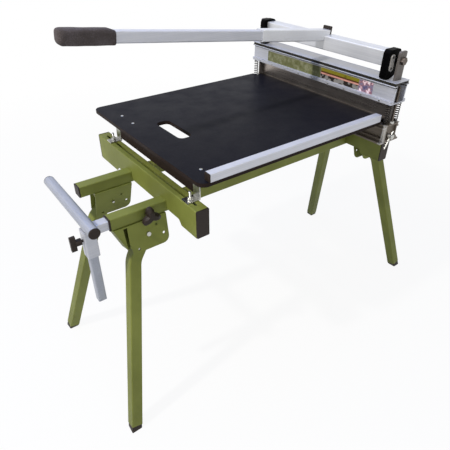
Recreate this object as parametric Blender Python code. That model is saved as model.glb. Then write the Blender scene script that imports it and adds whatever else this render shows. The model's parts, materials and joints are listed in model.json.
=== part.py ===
"""Folding shear stand: a four-legged stand with a hand shear, a table and a fence. Metres, +Z up."""
import math

import bmesh
import bpy
from mathutils import Matrix, Vector

for old in list(bpy.data.objects):
    bpy.data.objects.remove(old)

MM = 0.001
GAP = 0.3 * MM                      # clearance between pieces that touch or slide
TUBE_CORNER = 3.0 * MM              # outside corner radius of the square tubes

# Rails: two square tubes along X
RAIL_TUBE = 38.0 * MM
RAIL_WALL = 2.0 * MM
RAIL_LENGTH = 1276.0 * MM
RAIL_SPACING = 224.0 * MM           # between the two rails' centre lines
RAIL_HEIGHT = 698.0 * MM            # floor to the rails' underside
PLUG_LIP = 4.0 * MM
PLUG_DEPTH = 18.0 * MM
PLUG_CORE = 22.0 * MM               # hollow in a plug's stub

# Legs, in the leaning plane that runs down and outwards from each rail
LEG_LEAN = math.radians(13.96)
LEG_TUBE = 38.0 * MM
LEG_WALL = 2.0 * MM
LEG_ANGLE = math.radians(13.0)      # lower leg, from the plane's upright, in that plane
STUB_ANGLE = math.radians(38.5)     # short upper end, from the plane's upright
STUB_LENGTH = 91.0 * MM             # pivot to the bend
STUB_TOP = 22.0 * MM                # tube above the pivot
BEND_RADIUS = 75.0 * MM
BEND_STEPS = 6
FOOT_SOLE = 15.0 * MM               # along the leg, under the tube
FOOT_INSET = 1.2 * MM               # foot inside the tube's outline
FOOT_STUB = 26.0 * MM               # inside the tube

# Leg brackets: folded plate under the rail
PIVOT_X = 534.0 * MM                # from the middle of the stand
PIVOT_DROP = 49.0 * MM              # below the rail's underside
PLATE = 3.0 * MM
SIDE_CLEARANCE = 0.4 * MM           # each side of the leg, inside the bracket
BRACKET_INNER = 71.0 * MM           # pivot to the bracket's inner end
BRACKET_TAPER = 6.0 * MM
BRACKET_LOW = 48.0 * MM             # pivot to the bracket's lower edge
BRACKET_CORNER = 22.0 * MM
BRACKET_OUTER = 60.0 * MM           # pivot to the lower outer corner
BRACKET_HEEL = 27.0 * MM            # pivot level down to the end web's lower edge
BRACKET_ROOF = 41.0 * MM            # pivot to the inside of the bracket's top
WEB_FOOT = 72.0 * MM                # pivot to the lower end of a front bracket's end web
WEB_OPENING = 7.0 * MM              # lean of the outer plate's end edge
LOCK_RADIUS = 53.0 * MM             # lock holes round the pivot
LOCK_ANGLES = (math.radians(225.0), math.radians(344.0))
SPARE_HOLE = (32.0 * MM, 20.0 * MM)
LOCK_HOLE = 4.2 * MM
BOLT_RADIUS = 4.0 * MM
BOLT_HEAD = 7.5 * MM
BOLT_HEAD_HEIGHT = 5.5 * MM

# Tool mounts: deep channels across the rails
MOUNT_WIDTH = 42.0 * MM
MOUNT_HEIGHT = 90.0 * MM
MOUNT_LENGTH = 632.0 * MM
MOUNT_WALL = 3.0 * MM
MOUNT_RISE = 43.7 * MM              # top of the channel above the rails
MOUNT_Y = 24.0 * MM
MOUNT_SLOT = 9.0 * MM
MOUNT_SLOT_MARGIN = 26.0 * MM
MOUNT_STEP = 16.0 * MM              # the side walls are cut shorter between the ends
MOUNT_STEP_Y = 200.0 * MM           # reach of that cut, each side of the stand's middle
LEFT_MOUNT_X = -436.0 * MM
RIGHT_MOUNT_X = 381.0 * MM
CAP_LIP = 4.0 * MM
CAP_DEPTH = 20.0 * MM
CAP_CORE = 6.0 * MM                 # wall of the cap's hollow stub

# Sliding support at the left end
ARM_TUBE = 30.0 * MM
ARM_WALL = 2.0 * MM
ARM_LENGTH = 430.0 * MM
ARM_OUT = 44.0 * MM                 # rail end to the socket
COLLAR_LIP = 5.0 * MM
COLLAR_DEPTH = 26.0 * MM
SOCKET_TUBE = 36.0 * MM
SOCKET_TOP = 5.0 * MM               # above the arm's centre line
SOCKET_LENGTH = 90.0 * MM
POST_TUBE = 26.0 * MM
POST_WALL = 2.0 * MM
POST_LENGTH = 282.0 * MM
POST_CLEARANCE = 0.4 * MM
BAR_RADIUS = 17.0 * MM
BAR_WALL = 2.0 * MM
BAR_LENGTH = 350.0 * MM
BAR_Y = 7.0 * MM                    # middle of the bar, from the middle of the stand
BAR_CAP = 4.0 * MM
BAR_CAP_DEPTH = 14.0 * MM
KNOB_DROP = 27.0 * MM               # arm centre line to the post's knob
KNOB_STUD = 4.0 * MM
KNOB_SHANK = 5.0 * MM
KNOB_HUB = 10.5 * MM
KNOB_WING = 25.0 * MM
KNOB_WING_WIDTH = 12.0 * MM
KNOB_DEPTH = 31.0 * MM
ARM_KNOB_X = -523.0 * MM
ARM_KNOB_RADIUS = 23.0 * MM
ARM_KNOB_LOBE = 0.42                # depth of the three lobes, as a share of the radius
ARM_KNOB_TURN = math.radians(96.0)  # direction of one lobe
ARM_KNOB_TOP = 16.0 * MM
ARM_KNOB_DEPTH = 20.0 * MM
ARM_KNOB_LIFT = 15.0 * MM           # knob off the rail's front

# Table and fence
TABLE_THICK = 12.7 * MM
TABLE_LEFT = -442.0 * MM
TABLE_SET_FRONT = 22.0 * MM         # table's front edge behind the beams' front end
TABLE_SET_BACK = 8.5 * MM           # table's back edge before the beams' rear end
TABLE_CORNER = 26.0 * MM
SLOT_LEFT = -330.0 * MM
SLOT_RIGHT = -281.0 * MM
SLOT_FRONT = -20.0 * MM
SLOT_BACK = 139.0 * MM
SLOT_CORNER = 18.0 * MM
TABLE_NOTCH = 24.0 * MM             # clear space round the springs and uprights
FENCE_TUBE = 25.0 * MM
FENCE_WALL = 2.0 * MM
FENCE_LEFT = -414.0 * MM
FENCE_RIGHT = 303.0 * MM
FENCE_PROUD = 4.5 * MM              # fence before the table's front edge
FENCE_PLUG_LIP = 2.0 * MM
FENCE_PLUG_DEPTH = 14.0 * MM
BRACE_PLATE = 4.0 * MM              # zinc brackets between the left mount and the table
BRACE_WIDTH = 33.0 * MM
BRACE_FOOT = 40.0 * MM
BRACE_TOP = 34.0 * MM
BRACE_X = -411.0 * MM               # the upright web's right face
BRACE_HOLE = 4.6 * MM               # bolt hole over the mount's slot
FRONT_BRACE_SET = 58.5 * MM         # from the mount's ends
REAR_BRACE_SET = 81.6 * MM
RIB_THICK = 18.0 * MM               # stiffening rib under the table, between the brackets
RIB_DEPTH = 56.0 * MM

# Shear: two beams along Y, about the middle of the blade
SHEAR_X = 355.0 * MM
SHEAR_Y = 40.0 * MM
BEAM_END = 20.0 * MM                # beams past the uprights
BEAM_WIDTH = 78.0 * MM
BEAM_RECESS = 9.0 * MM              # side walls set back from the lips
BEAM_WALL = 5.0 * MM
LIP_TOP = 15.0 * MM
LIP_BOTTOM = 11.0 * MM
LIP_RIM = 2.0 * MM                   # lip above its groove
LIP_GROOVE = 9.5 * MM
GROOVE_DEPTH = 5.0 * MM
GROOVE_FLANK = 4.0 * MM             # slope at the groove's foot
BLOCK_SET = 1.5 * MM                # end block behind the lips
LOWER_HEIGHT = 67.0 * MM            # with its foot
UPPER_HEIGHT = 74.5 * MM
BEAM_OPENING = 59.5 * MM            # table top to the upper beam
FOOT_FLANGE = 6.0 * MM              # thickness of the lower beam's wide foot
FOOT_WIDTH = 102.0 * MM
END_BLOCK = 12.0 * MM               # block in the left groove at the front end
ANVIL_WIDTH = 12.0 * MM
BLADE_THICK = 5.0 * MM
BLADE_LENGTH = 660.0 * MM           # the cut; uprights, beams, cams and table follow it
BLADE_END_GAP = 2.5 * MM            # between the blade's end and the upright
BLADE_SEAT = 3.5 * MM               # blade let into the upper beam
BLADE_BEVEL = 9.0 * MM
BLADE_EDGE = 1.0 * MM
JAW = 7.0 * MM                      # blade above the anvil at rest
UPRIGHT_WIDTH = 36.0 * MM
UPRIGHT_THICK = 8.0 * MM
UPRIGHT_TOP = 30.0 * MM             # above the pivot
ROD_RADIUS = 5.0 * MM
ROD_SET = 13.0 * MM                 # guide rod outside the upright
ROD_HEIGHT = 128.0 * MM
ROD_NUT = 8.5 * MM
ROD_NUT_HEIGHT = 8.0 * MM
SPRING_OFFSET_X = 27.5 * MM
SPRING_SET = 7.0 * MM               # springs outside the upright's outer face
SPRING_RADIUS = 7.4 * MM            # to the middle of the wire
SPRING_WIRE = 1.1 * MM              # radius
SPRING_TURNS = 8
SPRING_POINTS = 10                  # in each turn

# Lever and cams, about the pivot's axis
PIVOT_RISE = 62.0 * MM              # pivot above the upper beam
BEAM_RISE = 25.0 * MM               # beam travel for each radian of the lever
CAM_LEFT = 42.0 * MM
CAM_RIGHT = 20.0 * MM
CAM_TOP = 33.0 * MM
CAM_THICK = 24.0 * MM
CAM_SET = 16.0 * MM                 # cam inside the upright
CAM_FIRST = math.radians(-10.0)
CAM_LAST = math.radians(60.0)
CAM_STEPS = 14
CAM_CORNER = 13.0 * MM
CAM_PLATE_THICK = 4.0 * MM
CAM_PLATE_WIDTH = 19.0 * MM
CAM_PLATE_LENGTH = 54.0 * MM
CAM_PLATE_X = -23.0 * MM
CAM_PLATE_Z = -8.0 * MM
CAM_PLATE_HOLE = 5.0 * MM
PIVOT_RADIUS = 8.0 * MM
PIVOT_HEAD = 13.0 * MM
PIVOT_HEAD_HEIGHT = 10.0 * MM
PIVOT_DEPTH = 17.0 * MM             # bolt inside the cam
BOSS_RADIUS = 12.5 * MM             # cam boss that reaches out to the upright
SHAFT_TUBE = 49.0 * MM
SHAFT_WALL = 4.0 * MM
LEVER_SLOPE = math.radians(6.35)    # lever above the level, at rest
LEVER_OFFSET = 21.5 * MM            # lever's centre line above the pivot
LEVER_TUBE = 31.5 * MM
LEVER_WALL = 2.5 * MM
SLEEVE_WALL = 3.1 * MM
SLEEVE_START = -2.0 * MM            # along the lever, from the pivot
SLEEVE_END = 328.0 * MM
LEVER_START = 110.0 * MM
LEVER_END = 990.0 * MM
GRIP_START = 846.0 * MM
GRIP_END = 997.0 * MM
GRIP_SIZE = 42.0 * MM
GRIP_CORNER = 13.0 * MM
GRIP_ROUND = 9.0 * MM
SLEEVE_PLUG_THICK = 7.0 * MM
SLEEVE_PLUG_PROUD = 12.0 * MM

# Clamp screw at the front end of the lower beam
CLAMP_X = -12.1 * MM                # from the shear's middle
CLAMP_RISE = 27.0 * MM              # above the lower beam's underside
CLAMP_HEAD = 9.0 * MM
CLAMP_HEAD_LENGTH = 26.0 * MM
CLAMP_SCREW = 4.0 * MM
CLAMP_SCREW_LENGTH = 10.0 * MM
CLAMP_PLATE = 4.0 * MM
CLAMP_PLATE_SET = 8.0 * MM          # plate inside the beam's front end
CLAMP_BAR = 3.2 * MM
CLAMP_BAR_LENGTH = 68.0 * MM
CLAMP_BAR_SHIFT = 14.0 * MM         # bar slid down through the head
CLAMP_BAR_ANGLE = math.radians(63.6)

# Worked out from the sizes above
RAIL_Y = RAIL_SPACING / 2
RAIL_TOP = RAIL_HEIGHT + RAIL_TUBE
RAIL_MIDDLE = RAIL_HEIGHT + RAIL_TUBE / 2
PIVOT_Z = RAIL_HEIGHT - PIVOT_DROP
PIVOT_Y = RAIL_Y + PIVOT_DROP * math.tan(LEG_LEAN)
MOUNT_TOP = RAIL_TOP + GAP + MOUNT_RISE
LOWER_BOTTOM = MOUNT_TOP + GAP
LOWER_TOP = LOWER_BOTTOM + LOWER_HEIGHT
TABLE_BOTTOM = LOWER_TOP + GAP
TABLE_TOP = TABLE_BOTTOM + TABLE_THICK
UPPER_BOTTOM = TABLE_TOP + BEAM_OPENING
UPPER_TOP = UPPER_BOTTOM + UPPER_HEIGHT
LEVER_Z = UPPER_TOP + PIVOT_RISE
ANVIL_RIGHT = -BLADE_THICK / 2 - GAP
ANVIL_LEFT = ANVIL_RIGHT - ANVIL_WIDTH
TABLE_RIGHT = SHEAR_X + ANVIL_LEFT - GAP
SOCKET_X = -(RAIL_LENGTH / 2 + ARM_OUT + SOCKET_TUBE / 2)
UPRIGHT_INNER = BLADE_LENGTH / 2 + BLADE_END_GAP
UPRIGHT_OFFSET = UPRIGHT_INNER + UPRIGHT_THICK / 2
UPRIGHT_OUTER = UPRIGHT_INNER + UPRIGHT_THICK
BEAM_LENGTH = 2 * (UPRIGHT_OUTER + BEAM_END)
ROD_OFFSET = UPRIGHT_OUTER + ROD_SET
SPRING_OFFSET_Y = UPRIGHT_OUTER + SPRING_SET
CAM_OUTER = UPRIGHT_INNER - CAM_SET
CAM_INNER = CAM_OUTER - CAM_THICK
CAM_OFFSET = CAM_OUTER - CAM_THICK / 2
TABLE_FRONT = SHEAR_Y - BEAM_LENGTH / 2 + TABLE_SET_FRONT
TABLE_BACK = SHEAR_Y + BEAM_LENGTH / 2 - TABLE_SET_BACK
FENCE_FRONT = TABLE_FRONT - FENCE_PROUD
FRONT_BRACE_Y = MOUNT_Y - MOUNT_LENGTH / 2 + FRONT_BRACE_SET
REAR_BRACE_Y = MOUNT_Y + MOUNT_LENGTH / 2 - REAR_BRACE_SET


# Finishes
def finish(name, colour, roughness, metallic=0.0):
    """One Principled material: linear colour, roughness and metallic value."""
    material = bpy.data.materials.new(name)
    material.use_nodes = True
    shader = material.node_tree.nodes["Principled BSDF"]
    shader.inputs["Base Color"].default_value = (*colour, 1.0)
    shader.inputs["Roughness"].default_value = roughness
    shader.inputs["Metallic"].default_value = metallic
    material.diffuse_color = (*colour, 1.0)
    return material


GREEN = finish("olive_paint", (0.14, 0.18, 0.045), 0.45)
BLACK = finish("black_plastic", (0.02, 0.018, 0.017), 0.5)
NYLON = finish("black_nylon", (0.008, 0.008, 0.009), 0.4)
TABLE_BLACK = finish("faced_plywood", (0.022, 0.022, 0.026), 0.35)
ALUMINIUM = finish("anodised_aluminium", (0.62, 0.63, 0.65), 0.35, 1.0)
ZINC = finish("zinc_plate", (0.5, 0.5, 0.48), 0.35, 1.0)
STEEL = finish("ground_steel", (0.28, 0.27, 0.26), 0.3, 1.0)
SPRING = finish("spring_wire", (0.16, 0.15, 0.14), 0.4, 1.0)
FOAM = finish("foam_grip", (0.045, 0.035, 0.03), 0.9)


# Outlines, as lists of points in a plane
def rounded(points, radii, steps=4):
    """The polygon with each corner of a radius above zero turned into an arc."""
    outline = []
    count = len(points)
    for index in range(count):
        corner = Vector(points[index])
        radius = radii[index]
        if radius <= 0.0:
            outline.append(tuple(corner))
            continue
        before = (Vector(points[index - 1]) - corner).normalized()
        after = (Vector(points[(index + 1) % count]) - corner).normalized()
        half = before.angle(after) / 2
        centre = corner + (before + after).normalized() * (radius / math.sin(half))
        first = corner + before * (radius / math.tan(half)) - centre
        last = corner + after * (radius / math.tan(half)) - centre
        sweep = first.angle_signed(last)
        for step in range(steps + 1):
            turned = Matrix.Rotation(-sweep * step / steps, 2) @ first
            outline.append(tuple(centre + turned))
    return outline


def rectangle(left, low, right, high, corner=0.0, steps=3):
    """A rectangle with equal corner arcs."""
    points = [(left, low), (right, low), (right, high), (left, high)]
    return rounded(points, [corner] * 4, steps)


def square(size, corner=0.0, steps=2):
    """A square about the origin."""
    half = size / 2
    return rectangle(-half, -half, half, half, corner, steps)


def circle(radius, sides=24, centre=(0.0, 0.0)):
    """A regular polygon about a centre."""
    turn = 2 * math.pi / sides
    return [(centre[0] + radius * math.cos(turn * i), centre[1] + radius * math.sin(turn * i))
            for i in range(sides)]


def raised(axis, outline, level):
    """The outline's points in space, at a level along X, Y or Z."""
    if axis == "X":
        return [(level, a, b) for a, b in outline]
    if axis == "Y":
        return [(a, level, b) for a, b in outline]
    return [(a, b, level) for a, b in outline]


# Bodies, as bmeshes
def bridge(bm, low, high):
    """Side faces between two loops of vertices."""
    count = len(low)
    for i in range(count):
        bm.faces.new((low[i], low[(i + 1) % count], high[(i + 1) % count], high[i]))


def loft(rings):
    """A closed body through rings with as many points as each other."""
    bm = bmesh.new()
    loops = [[bm.verts.new(point) for point in ring] for ring in rings]
    for low, high in zip(loops, loops[1:]):
        bridge(bm, low, high)
    bm.faces.new(loops[0])
    bm.faces.new(loops[-1])
    bmesh.ops.recalc_face_normals(bm, faces=bm.faces[:])
    return bm


def pipe(outer, inner):
    """An open pipe: an outer and an inner skin of rings, joined at both ends."""
    bm = bmesh.new()
    skins = [[[bm.verts.new(point) for point in ring] for ring in skin] for skin in (outer, inner)]
    for skin in skins:
        for low, high in zip(skin, skin[1:]):
            bridge(bm, low, high)
    bridge(bm, skins[0][0], skins[1][0])
    bridge(bm, skins[0][-1], skins[1][-1])
    bmesh.ops.recalc_face_normals(bm, faces=bm.faces[:])
    return bm


def prism(axis, outline, low, high):
    """An outline drawn out along an axis."""
    return loft([raised(axis, outline, low), raised(axis, outline, high)])


def block(low, high):
    """A box between two corners."""
    return prism("Z", rectangle(low[0], low[1], high[0], high[1]), low[2], high[2])


def square_tube(axis, size, wall, low, high, corner=TUBE_CORNER):
    """A square tube about an axis through the origin."""
    outer = square(size, corner)
    inner = square(size - 2 * wall, corner / 3)
    ends = (low, high)
    return pipe([raised(axis, outer, end) for end in ends], [raised(axis, inner, end) for end in ends])


def moved(bm, offset):
    """The same body, shifted."""
    bmesh.ops.translate(bm, verts=bm.verts[:], vec=offset)
    return bm


def turned(bm, matrix):
    """The same body, through a matrix."""
    bmesh.ops.transform(bm, matrix=matrix, verts=bm.verts[:])
    bmesh.ops.recalc_face_normals(bm, faces=bm.faces[:])
    return bm


def joined(*bodies):
    """Separate bodies in one mesh."""
    result = bmesh.new()
    for body in bodies:
        mesh = bpy.data.meshes.new("joined")
        body.to_mesh(mesh)
        body.free()
        result.from_mesh(mesh)
        bpy.data.meshes.remove(mesh)
    return result


def scratch(bm):
    """A short-lived object for a boolean."""
    mesh = bpy.data.meshes.new("scratch")
    bm.to_mesh(mesh)
    bm.free()
    body = bpy.data.objects.new("scratch", mesh)
    bpy.context.scene.collection.objects.link(body)
    return body


def boolean(body, tool, operation):
    """One boolean between two bodies, applied."""
    target = scratch(body)
    other = scratch(tool)
    modifier = target.modifiers.new("boolean", "BOOLEAN")
    modifier.operation = operation
    modifier.solver = "EXACT"
    modifier.object = other
    evaluated = target.evaluated_get(bpy.context.evaluated_depsgraph_get())
    result = bmesh.new()
    result.from_mesh(evaluated.to_mesh())
    evaluated.to_mesh_clear()
    for piece in (target, other):
        mesh = piece.data
        bpy.data.objects.remove(piece)
        bpy.data.meshes.remove(mesh)
    return result


def cut(body, *tools):
    """A body with tools cut out of it; the tools don't overlap each other."""
    return boolean(body, joined(*tools), "DIFFERENCE")


# Objects
def axis_empty(name, place, parent=None):
    """An empty that carries pieces: a sub-assembly's datum or a joint's axis."""
    empty = bpy.data.objects.new(name, None)
    empty.empty_display_size = 0.05
    empty.parent = parent
    empty.location = place
    bpy.context.scene.collection.objects.link(empty)
    return empty


def piece(name, bm, material, parent):
    """A named piece made of a body, carried by an empty."""
    mesh = bpy.data.meshes.new(name)
    bm.to_mesh(mesh)
    bm.free()
    mesh.materials.append(material)
    mesh.shade_smooth()
    mesh.set_sharp_from_angle(angle=math.radians(32.0))
    body = bpy.data.objects.new(name, mesh)
    body.parent = parent
    bpy.context.scene.collection.objects.link(body)
    return body


ORIGIN = axis_empty("stand_origin", (0.0, 0.0, 0.0))


# Rails, plugs and collar
def rail_plug(side):
    """A plug about the rail's axis: a lip outside the tube's end and a hollow stub inside."""
    stub = RAIL_TUBE - 2 * RAIL_WALL - 2 * GAP
    lip = (side * GAP, side * (GAP + PLUG_LIP))
    body = loft([raised("X", square(stub, TUBE_CORNER / 3), -side * PLUG_DEPTH),
                 raised("X", square(stub, TUBE_CORNER / 3), lip[0]),
                 raised("X", square(RAIL_TUBE, TUBE_CORNER), lip[0]),
                 raised("X", square(RAIL_TUBE, TUBE_CORNER), lip[1])])
    core = prism("X", square(PLUG_CORE), -side * (PLUG_DEPTH + PLUG_LIP), -side * PLUG_LIP)
    return cut(body, core)


def rail(holes=()):
    """A rail about its own middle: a square tube with its right end welded shut."""
    end = RAIL_LENGTH / 2
    body = prism("X", square(RAIL_TUBE, TUBE_CORNER), -end, end)
    inside = prism("X", square(RAIL_TUBE - 2 * RAIL_WALL, TUBE_CORNER / 3), -2 * end, end - RAIL_WALL)
    return cut(body, inside) if not holes else cut(cut(body, inside), *holes)


def build_rails():
    """Two rails, the collar for the sliding arm and the rear rail's plug."""
    end = RAIL_LENGTH / 2
    front = axis_empty("front_rail_datum", (0.0, -RAIL_Y, RAIL_MIDDLE), ORIGIN)
    rear = axis_empty("rear_rail_datum", (0.0, RAIL_Y, RAIL_MIDDLE), ORIGIN)
    hole = prism("Y", circle(KNOB_STUD + GAP, 24, (ARM_KNOB_X, 0.0)), -RAIL_TUBE, 0.0)
    piece("front_rail", rail([hole]), GREEN, front)
    piece("rear_rail", rail(), GREEN, rear)
    piece("rear_rail_plug", moved(rail_plug(-1), (-end, 0.0, 0.0)), BLACK, rear)

    inside = RAIL_TUBE - 2 * RAIL_WALL - 2 * GAP
    bore = square(ARM_TUBE + 2 * GAP, TUBE_CORNER)
    outer = [raised("X", square(RAIL_TUBE, TUBE_CORNER), -end - GAP - COLLAR_LIP),
             raised("X", square(RAIL_TUBE, TUBE_CORNER), -end - GAP),
             raised("X", square(inside, TUBE_CORNER / 3), -end - GAP),
             raised("X", square(inside, TUBE_CORNER / 3), -end + COLLAR_DEPTH)]
    inner = [raised("X", bore, outer[0][0][0]), raised("X", bore, outer[-1][0][0])]
    piece("rail_collar", pipe(outer, inner), BLACK, front)


# Tool mounts
def tool_mount():
    """A deep channel, open below, slotted along the top and notched over the rails."""
    half = MOUNT_WIDTH / 2
    back = MOUNT_LENGTH / 2
    inside = half - MOUNT_WALL
    low = MOUNT_TOP - MOUNT_HEIGHT
    far = 2 * MOUNT_WIDTH
    section = rounded([(-half, low), (-inside, low), (-inside, MOUNT_TOP - MOUNT_WALL),
                       (inside, MOUNT_TOP - MOUNT_WALL), (inside, low), (half, low),
                       (half, MOUNT_TOP), (-half, MOUNT_TOP)], [0] * 6 + [TUBE_CORNER] * 2)
    channel = prism("Y", section, MOUNT_Y - back, MOUNT_Y + back)
    slot_end = back - MOUNT_SLOT_MARGIN
    slot = prism("Z", rectangle(-MOUNT_SLOT / 2, MOUNT_Y - slot_end, MOUNT_SLOT / 2, MOUNT_Y + slot_end,
                                MOUNT_SLOT / 2.2), MOUNT_TOP - 2 * MOUNT_WALL, MOUNT_TOP + MOUNT_WALL)
    rail = RAIL_TUBE / 2 + GAP
    under = low - MOUNT_WALL
    step = low + MOUNT_STEP
    seat = RAIL_TOP + GAP
    notch = [(-MOUNT_STEP_Y - MOUNT_STEP, under), (MOUNT_STEP_Y + MOUNT_STEP, under), (MOUNT_STEP_Y, step),
             (RAIL_Y + rail, step), (RAIL_Y + rail, seat), (RAIL_Y - rail, seat), (RAIL_Y - rail, step),
             (rail - RAIL_Y, step), (rail - RAIL_Y, seat), (-RAIL_Y - rail, seat), (-RAIL_Y - rail, step),
             (-MOUNT_STEP_Y, step)]
    return cut(channel, slot, prism("X", notch, -far, far))


def mount_cap(side):
    """A cap on the mount's end: a plate and a hollow stub inside the channel."""
    half = MOUNT_WIDTH / 2
    low = MOUNT_TOP - MOUNT_HEIGHT
    end = MOUNT_Y + side * (MOUNT_LENGTH / 2 + GAP)
    stub_side = half - MOUNT_WALL - GAP
    stub_top = MOUNT_TOP - MOUNT_WALL - GAP
    plate = rectangle(-half, low, half, MOUNT_TOP, TUBE_CORNER)
    stub_low = low + MOUNT_WALL
    stub = rectangle(-stub_side, stub_low, stub_side, stub_top, TUBE_CORNER / 3)
    body = loft([raised("Y", stub, end - side * CAP_DEPTH), raised("Y", stub, end),
                 raised("Y", plate, end), raised("Y", plate, end + side * CAP_LIP)])
    core = rectangle(CAP_CORE - stub_side, stub_low + CAP_CORE, stub_side - CAP_CORE, stub_top - CAP_CORE)
    return cut(body, prism("Y", core, end - side * 2 * CAP_DEPTH, end))


def build_mounts():
    """Both mounts and their four end caps."""
    for name, x in (("left", LEFT_MOUNT_X), ("right", RIGHT_MOUNT_X)):
        datum = axis_empty(name + "_mount_datum", (x, 0.0, 0.0), ORIGIN)
        piece(name + "_tool_mount", tool_mount(), GREEN, datum)
        piece(name + "_mount_front_cap", mount_cap(-1), BLACK, datum)
        piece(name + "_mount_rear_cap", mount_cap(1), BLACK, datum)


# Legs
def leg_frame(side_x, side_y):
    """A leg's frame: origin on the pivot, X inwards, Z up in the leaning plane."""
    up = Vector((0.0, -side_y * math.sin(LEG_LEAN), math.cos(LEG_LEAN)))
    inwards = Vector((-side_x, 0.0, 0.0))
    across = up.cross(inwards)
    frame = Matrix((inwards, across, up)).transposed().to_4x4()
    frame.translation = (side_x * PIVOT_X, side_y * PIVOT_Y, PIVOT_Z)
    return frame


def leg_points():
    """The bend and the floor end of the leg's centre line, in the leg's frame."""
    bend = Vector((-math.sin(STUB_ANGLE), -math.cos(STUB_ANGLE))) * STUB_LENGTH
    drop = PIVOT_Z / math.cos(LEG_LEAN) + bend.y
    floor = bend + Vector((-math.tan(LEG_ANGLE), -1.0)) * drop
    return bend, floor


def leg_path():
    """Centre line from the top of the stub through the bend to just above the floor."""
    bend, floor = leg_points()
    top = -bend.normalized() * STUB_TOP
    end = floor + (bend - floor).normalized() * FOOT_SOLE
    path = rounded([tuple(top), tuple(bend), tuple(end)], [0.0, BEND_RADIUS, 0.0], BEND_STEPS)
    return [Vector(point) for point in path]


def swept(path, outline):
    """Rings of an outline carried along a path in the XZ plane, mitred at its corners."""
    rings = []
    for index, point in enumerate(path):
        before = (point - path[max(index - 1, 0)]).normalized()
        after = (path[min(index + 1, len(path) - 1)] - point).normalized()
        along = (before + after).normalized()
        side = Vector((-along.y, along.x))
        stretch = 1.0 / max(along.dot(after), along.dot(before))
        rings.append([(point.x + side.x * a * stretch, b, point.y + side.y * a * stretch)
                      for a, b in outline])
    return rings


def leg_tube():
    """The bent square tube, with the pivot and lock holes through it."""
    path = leg_path()
    tube = pipe(swept(path, square(LEG_TUBE, TUBE_CORNER)),
                swept(path, square(LEG_TUBE - 2 * LEG_WALL, TUBE_CORNER / 3)))
    return cut(tube, prism("Y", circle(BOLT_RADIUS + GAP), -LEG_TUBE, LEG_TUBE))


def foot_plug(frame):
    """A plug in the leg's end, with a sole that is cut level with the floor."""
    bend, floor = leg_points()
    along = (bend - floor).normalized()
    step = floor + along * (FOOT_SOLE - GAP)
    sole = square(LEG_TUBE - 2 * FOOT_INSET, TUBE_CORNER)
    stub = square(LEG_TUBE - 2 * LEG_WALL - 2 * GAP, TUBE_CORNER / 3)
    body = loft(swept([floor - along * 2 * FOOT_SOLE, step], sole)
                + swept([step, step + along * FOOT_STUB], stub))
    span = 2 * RAIL_LENGTH
    ground = turned(block((-span, -span, -span), (span, span, 0.0)), frame.inverted())
    return cut(body, ground)


def leg_bracket(frame, webbed, out):
    """A folded plate round the leg's upper end. A front one has a slanting end web that leaves the end of
    the outer plate open; a rear one stops short and is open there."""
    underside = PIVOT_DROP / math.cos(LEG_LEAN)
    top = underside + LEG_TUBE
    outer = LEG_TUBE / 2 + SIDE_CLEARANCE + PLATE
    far = 3 * BRACKET_INNER
    inner_end = [(BRACKET_INNER + BRACKET_TAPER / 3, top), (BRACKET_INNER - BRACKET_TAPER, -BRACKET_LOW),
                 (-BRACKET_OUTER, -BRACKET_LOW)]
    if webbed:
        run = RAIL_LENGTH / 2 - PIVOT_X - WEB_FOOT
        rise = underside + BRACKET_HEEL
        lean = run / rise
        outline = rounded([(-WEB_FOOT - lean * (top + BRACKET_HEEL), top), *inner_end,
                           (-BRACKET_OUTER, -BRACKET_HEEL), (-WEB_FOOT, -BRACKET_HEEL)],
                          [0.0, 0.0, BRACKET_CORNER, PLATE, 0.0, 0.0], 5)
        web = PLATE * math.hypot(run, rise) / rise - WEB_FOOT
        room = [(-far, -far), (far, -far), (far, BRACKET_ROOF),
                (web - lean * (BRACKET_ROOF + BRACKET_HEEL), BRACKET_ROOF), (web, -BRACKET_HEEL),
                (-far, -BRACKET_HEEL)]
    else:
        outline = rounded([(-BRACKET_OUTER, top), *inner_end], [0.0, 0.0, BRACKET_CORNER, PLATE], 5)
        room = [(-far, -far), (far, -far), (far, BRACKET_ROOF), (-far, BRACKET_ROOF)]
    body = cut(prism("Y", outline, -outer, outer), prism("Y", room, PLATE - outer, outer - PLATE))
    if webbed:
        gap = [(-BRACKET_OUTER, BRACKET_ROOF), (-WEB_FOOT, BRACKET_ROOF), (-WEB_FOOT, -2 * BRACKET_LOW),
               (-BRACKET_OUTER - WEB_OPENING, -2 * BRACKET_LOW)]
        body = cut(body, prism("Y", gap, out * LEG_TUBE / 2, out * 2 * outer))
    holes = [prism("Y", circle(BOLT_RADIUS + GAP), -2 * outer, 2 * outer)]
    spots = [SPARE_HOLE] + [(LOCK_RADIUS * math.cos(a), LOCK_RADIUS * math.sin(a)) for a in LOCK_ANGLES]
    holes += [prism("Y", circle(LOCK_HOLE, 16, spot), -2 * outer, 2 * outer) for spot in spots]
    span = 2 * RAIL_LENGTH
    rail_side = turned(block((-span, -span, RAIL_HEIGHT - GAP), (span, span, span)), frame.inverted())
    return cut(cut(body, *holes), rail_side)


def hex_bolt(axis, radius, head_radius, head_height, start, end):
    """A hexagon head that ends at start, and a round shank from start to end."""
    sign = math.copysign(1.0, end - start)
    corners = [Vector(corner) for corner in circle(head_radius, 6)]
    head = [tuple(corners[i // 4].lerp(corners[(i // 4 + 1) % 6], (i % 4) / 4)) for i in range(24)]
    shank = circle(radius, 24)
    return loft([raised(axis, head, start - sign * head_height), raised(axis, head, start),
                 raised(axis, shank, start), raised(axis, shank, end)])


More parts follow.
